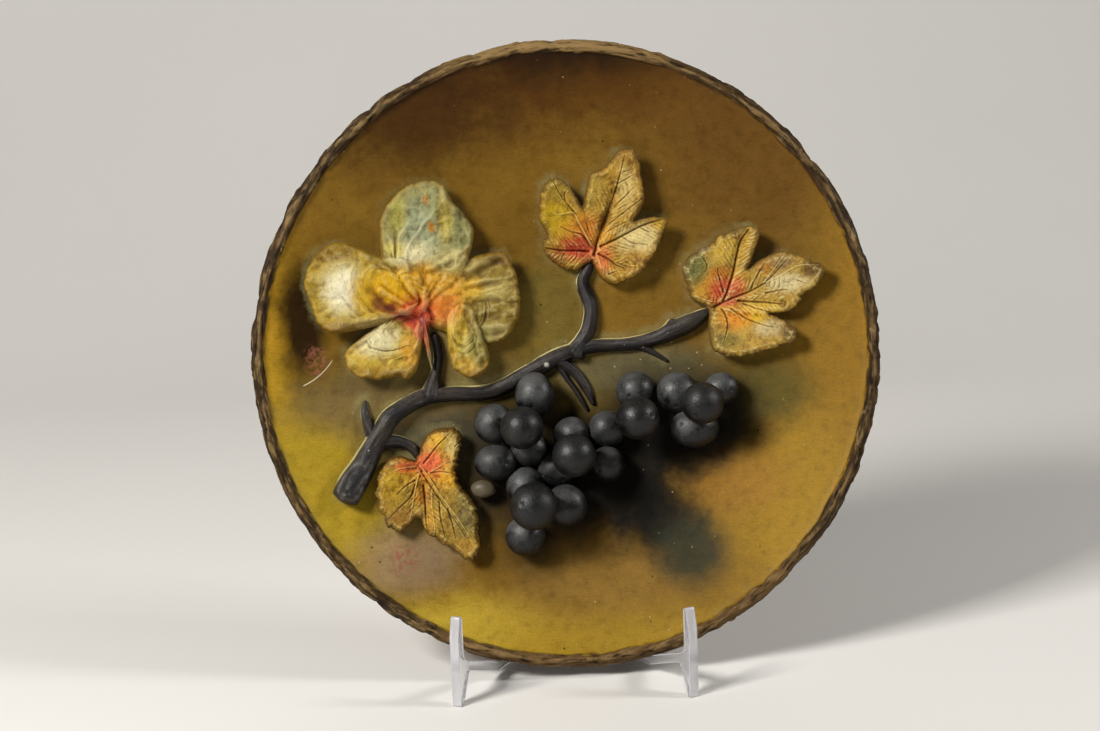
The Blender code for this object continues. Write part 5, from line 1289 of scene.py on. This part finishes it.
print("dish")
piece("dishPainted", [dishSkin()], dishFinish(), ["dish"])


# the easel: two legs sawn from clear sheet
easel = {"bevel": 0.0004, "clear": (0.9, 0.91, 0.94), "edge": (0.8, 0.8, 0.84)}


def acrylicFinish(name, colour, roughness, transmission):
    f = Finish(name)
    scuff = f.noise(0.01, 4.0, 2.0, 0.6)
    shade = f.tint(f.fade(scuff, 0.4, 0.7) * 0.3, colour, tuple(0.9 * c for c in colour))
    return f.set(Base_Color=shade, Roughness=f.fade(scuff, 0.35, 0.75, roughness, roughness + 0.1), IOR=1.49,
                 Transmission_Weight=transmission, Normal=f.bump(f.noise(0.0015, 3.0, 4.0), 0.00003, 0.4))


print("easel")
sheetPaint = acrylicFinish("clearSheet", easel["clear"], 0.04, 0.92)
sawnPaint = acrylicFinish("sawnEdge", easel["edge"], 0.18, 0.55)
for side in ("left", "right"):
    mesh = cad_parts["stand_leg_" + side].data.copy()
    mesh.name = "leg" + side.capitalize()
    mesh.materials.clear()
    mesh.materials.append(sheetPaint)
    mesh.materials.append(sawnPaint)
    leg = bmesh.new()
    leg.from_mesh(mesh)
    bmesh.ops.remove_doubles(leg, verts=leg.verts, dist=0.00001)
    bmesh.ops.dissolve_limit(leg, angle_limit=math.radians(1), verts=leg.verts, edges=leg.edges)
    broad = max(leg.faces, key=lambda face: face.calc_area()).normal.copy()
    for face in leg.faces:
        face.material_index = 0 if abs(face.normal.dot(broad)) > 0.9 else 1
    corners = [edge for edge in leg.edges if edge.calc_face_angle(0) > math.radians(30)]
    bmesh.ops.bevel(leg, geom=corners, offset=easel["bevel"], segments=2, affect="EDGES", profile=0.6,
                    clamp_overlap=True, material=1)
    leg.to_mesh(mesh)
    leg.free()
    mesh.shade_smooth()
    mesh.set_sharp_from_angle(angle=math.radians(28))
    setDown(bpy.data.objects.new(mesh.name, mesh), ["stand_leg_" + side], Matrix.Identity(4))


# paper sweep, soft lights and the camera
studio = {
    "paper": (0.74, 0.73, 0.71), "paperBend": (0.6, 0.7), "sky": (0.7, 0.68, 0.66), "skyStrength": 0.05,
    "key": {"place": (-1.02, -0.88, 1.12), "size": 0.46, "power": 35.0, "colour": (1.0, 0.97, 0.92)},
    "fill": {"place": (1.3, -0.28, 0.92), "size": 0.3, "power": 12.0, "colour": (1.0, 0.98, 0.95)},
    "lens": 72.0, "distance": 1.12, "roll": 2.3, "shift": (16.0, -12.5),
}


def paperSweep():
    # a flat floor that curves up far behind the easel
    start, bend = studio["paperBend"]
    profile = [(-5.0, 0.0), (start, 0.0)]
    for turn in np.linspace(0.1, math.pi / 2, 14):
        profile.append((start + bend * math.sin(turn), bend - bend * math.cos(turn)))
    profile.append((start + bend, 5.0))
    points = [(x, y, z) for y, z in profile for x in (-7.0, 7.0)]
    faces = [(2 * i, 2 * i + 1, 2 * i + 3, 2 * i + 2) for i in range(len(profile) - 1)]
    mesh = bpy.data.meshes.new("paperSweep")
    mesh.from_pydata(points, [], faces)
    mesh.shade_smooth()
    f = Finish("paper")
    paper = studio["paper"]
    shade = f.tint(f.fade(f.noise(0.5, 2.0), 0.3, 0.7), paper, tuple(0.97 * c for c in paper))
    mesh.materials.append(f.set(Base_Color=shade, Roughness=0.75))
    sweep = bpy.data.objects.new("paperSweep", mesh)
    bpy.context.scene.collection.objects.link(sweep)


def softLight(name, spec):
    lamp = bpy.data.lights.new(name, "AREA")
    lamp.size, lamp.energy, lamp.color = spec["size"], spec["power"], spec["colour"]
    light = bpy.data.objects.new(name, lamp)
    bpy.context.scene.collection.objects.link(light)
    light.location = spec["place"]
    aim = Vector(lean["middle"]) - light.location
    light.rotation_euler = aim.to_track_quat("-Z", "Y").to_euler()


def setCamera():
    # square on to the dish, turned a little, with the dish set off the middle of the picture
    across, up, out = (Vector(leanOver.to_3x3().col[i]) for i in range(3))
    roll = math.radians(studio["roll"])
    right = across * math.cos(roll) - up * math.sin(roll)
    top = up * math.cos(roll) + across * math.sin(roll)
    pixel = studio["distance"] / (studio["lens"] / 36 * 1100)
    spot = Vector(lean["middle"]) + out * studio["distance"]
    spot -= right * studio["shift"][0] * pixel - top * studio["shift"][1] * pixel
    camera = bpy.data.objects.new("camera", bpy.data.cameras.new("camera"))
    camera.data.lens = studio["lens"]
    camera.data.sensor_width = 36
    bpy.context.scene.collection.objects.link(camera)
    camera.matrix_world = Matrix.Translation(spot) @ Matrix((right, top, out)).transposed().to_4x4()
    bpy.context.scene.camera = camera


print("studio")
paperSweep()
softLight("key", studio["key"])
softLight("fill", studio["fill"])
world = bpy.data.worlds.new("studio")
world.use_nodes = True
world.node_tree.nodes["Background"].inputs["Color"].default_value = (*studio["sky"], 1.0)
world.node_tree.nodes["Background"].inputs["Strength"].default_value = studio["skyStrength"]
bpy.context.scene.world = world
bpy.context.scene.view_settings.view_transform = "Standard"
setCamera()
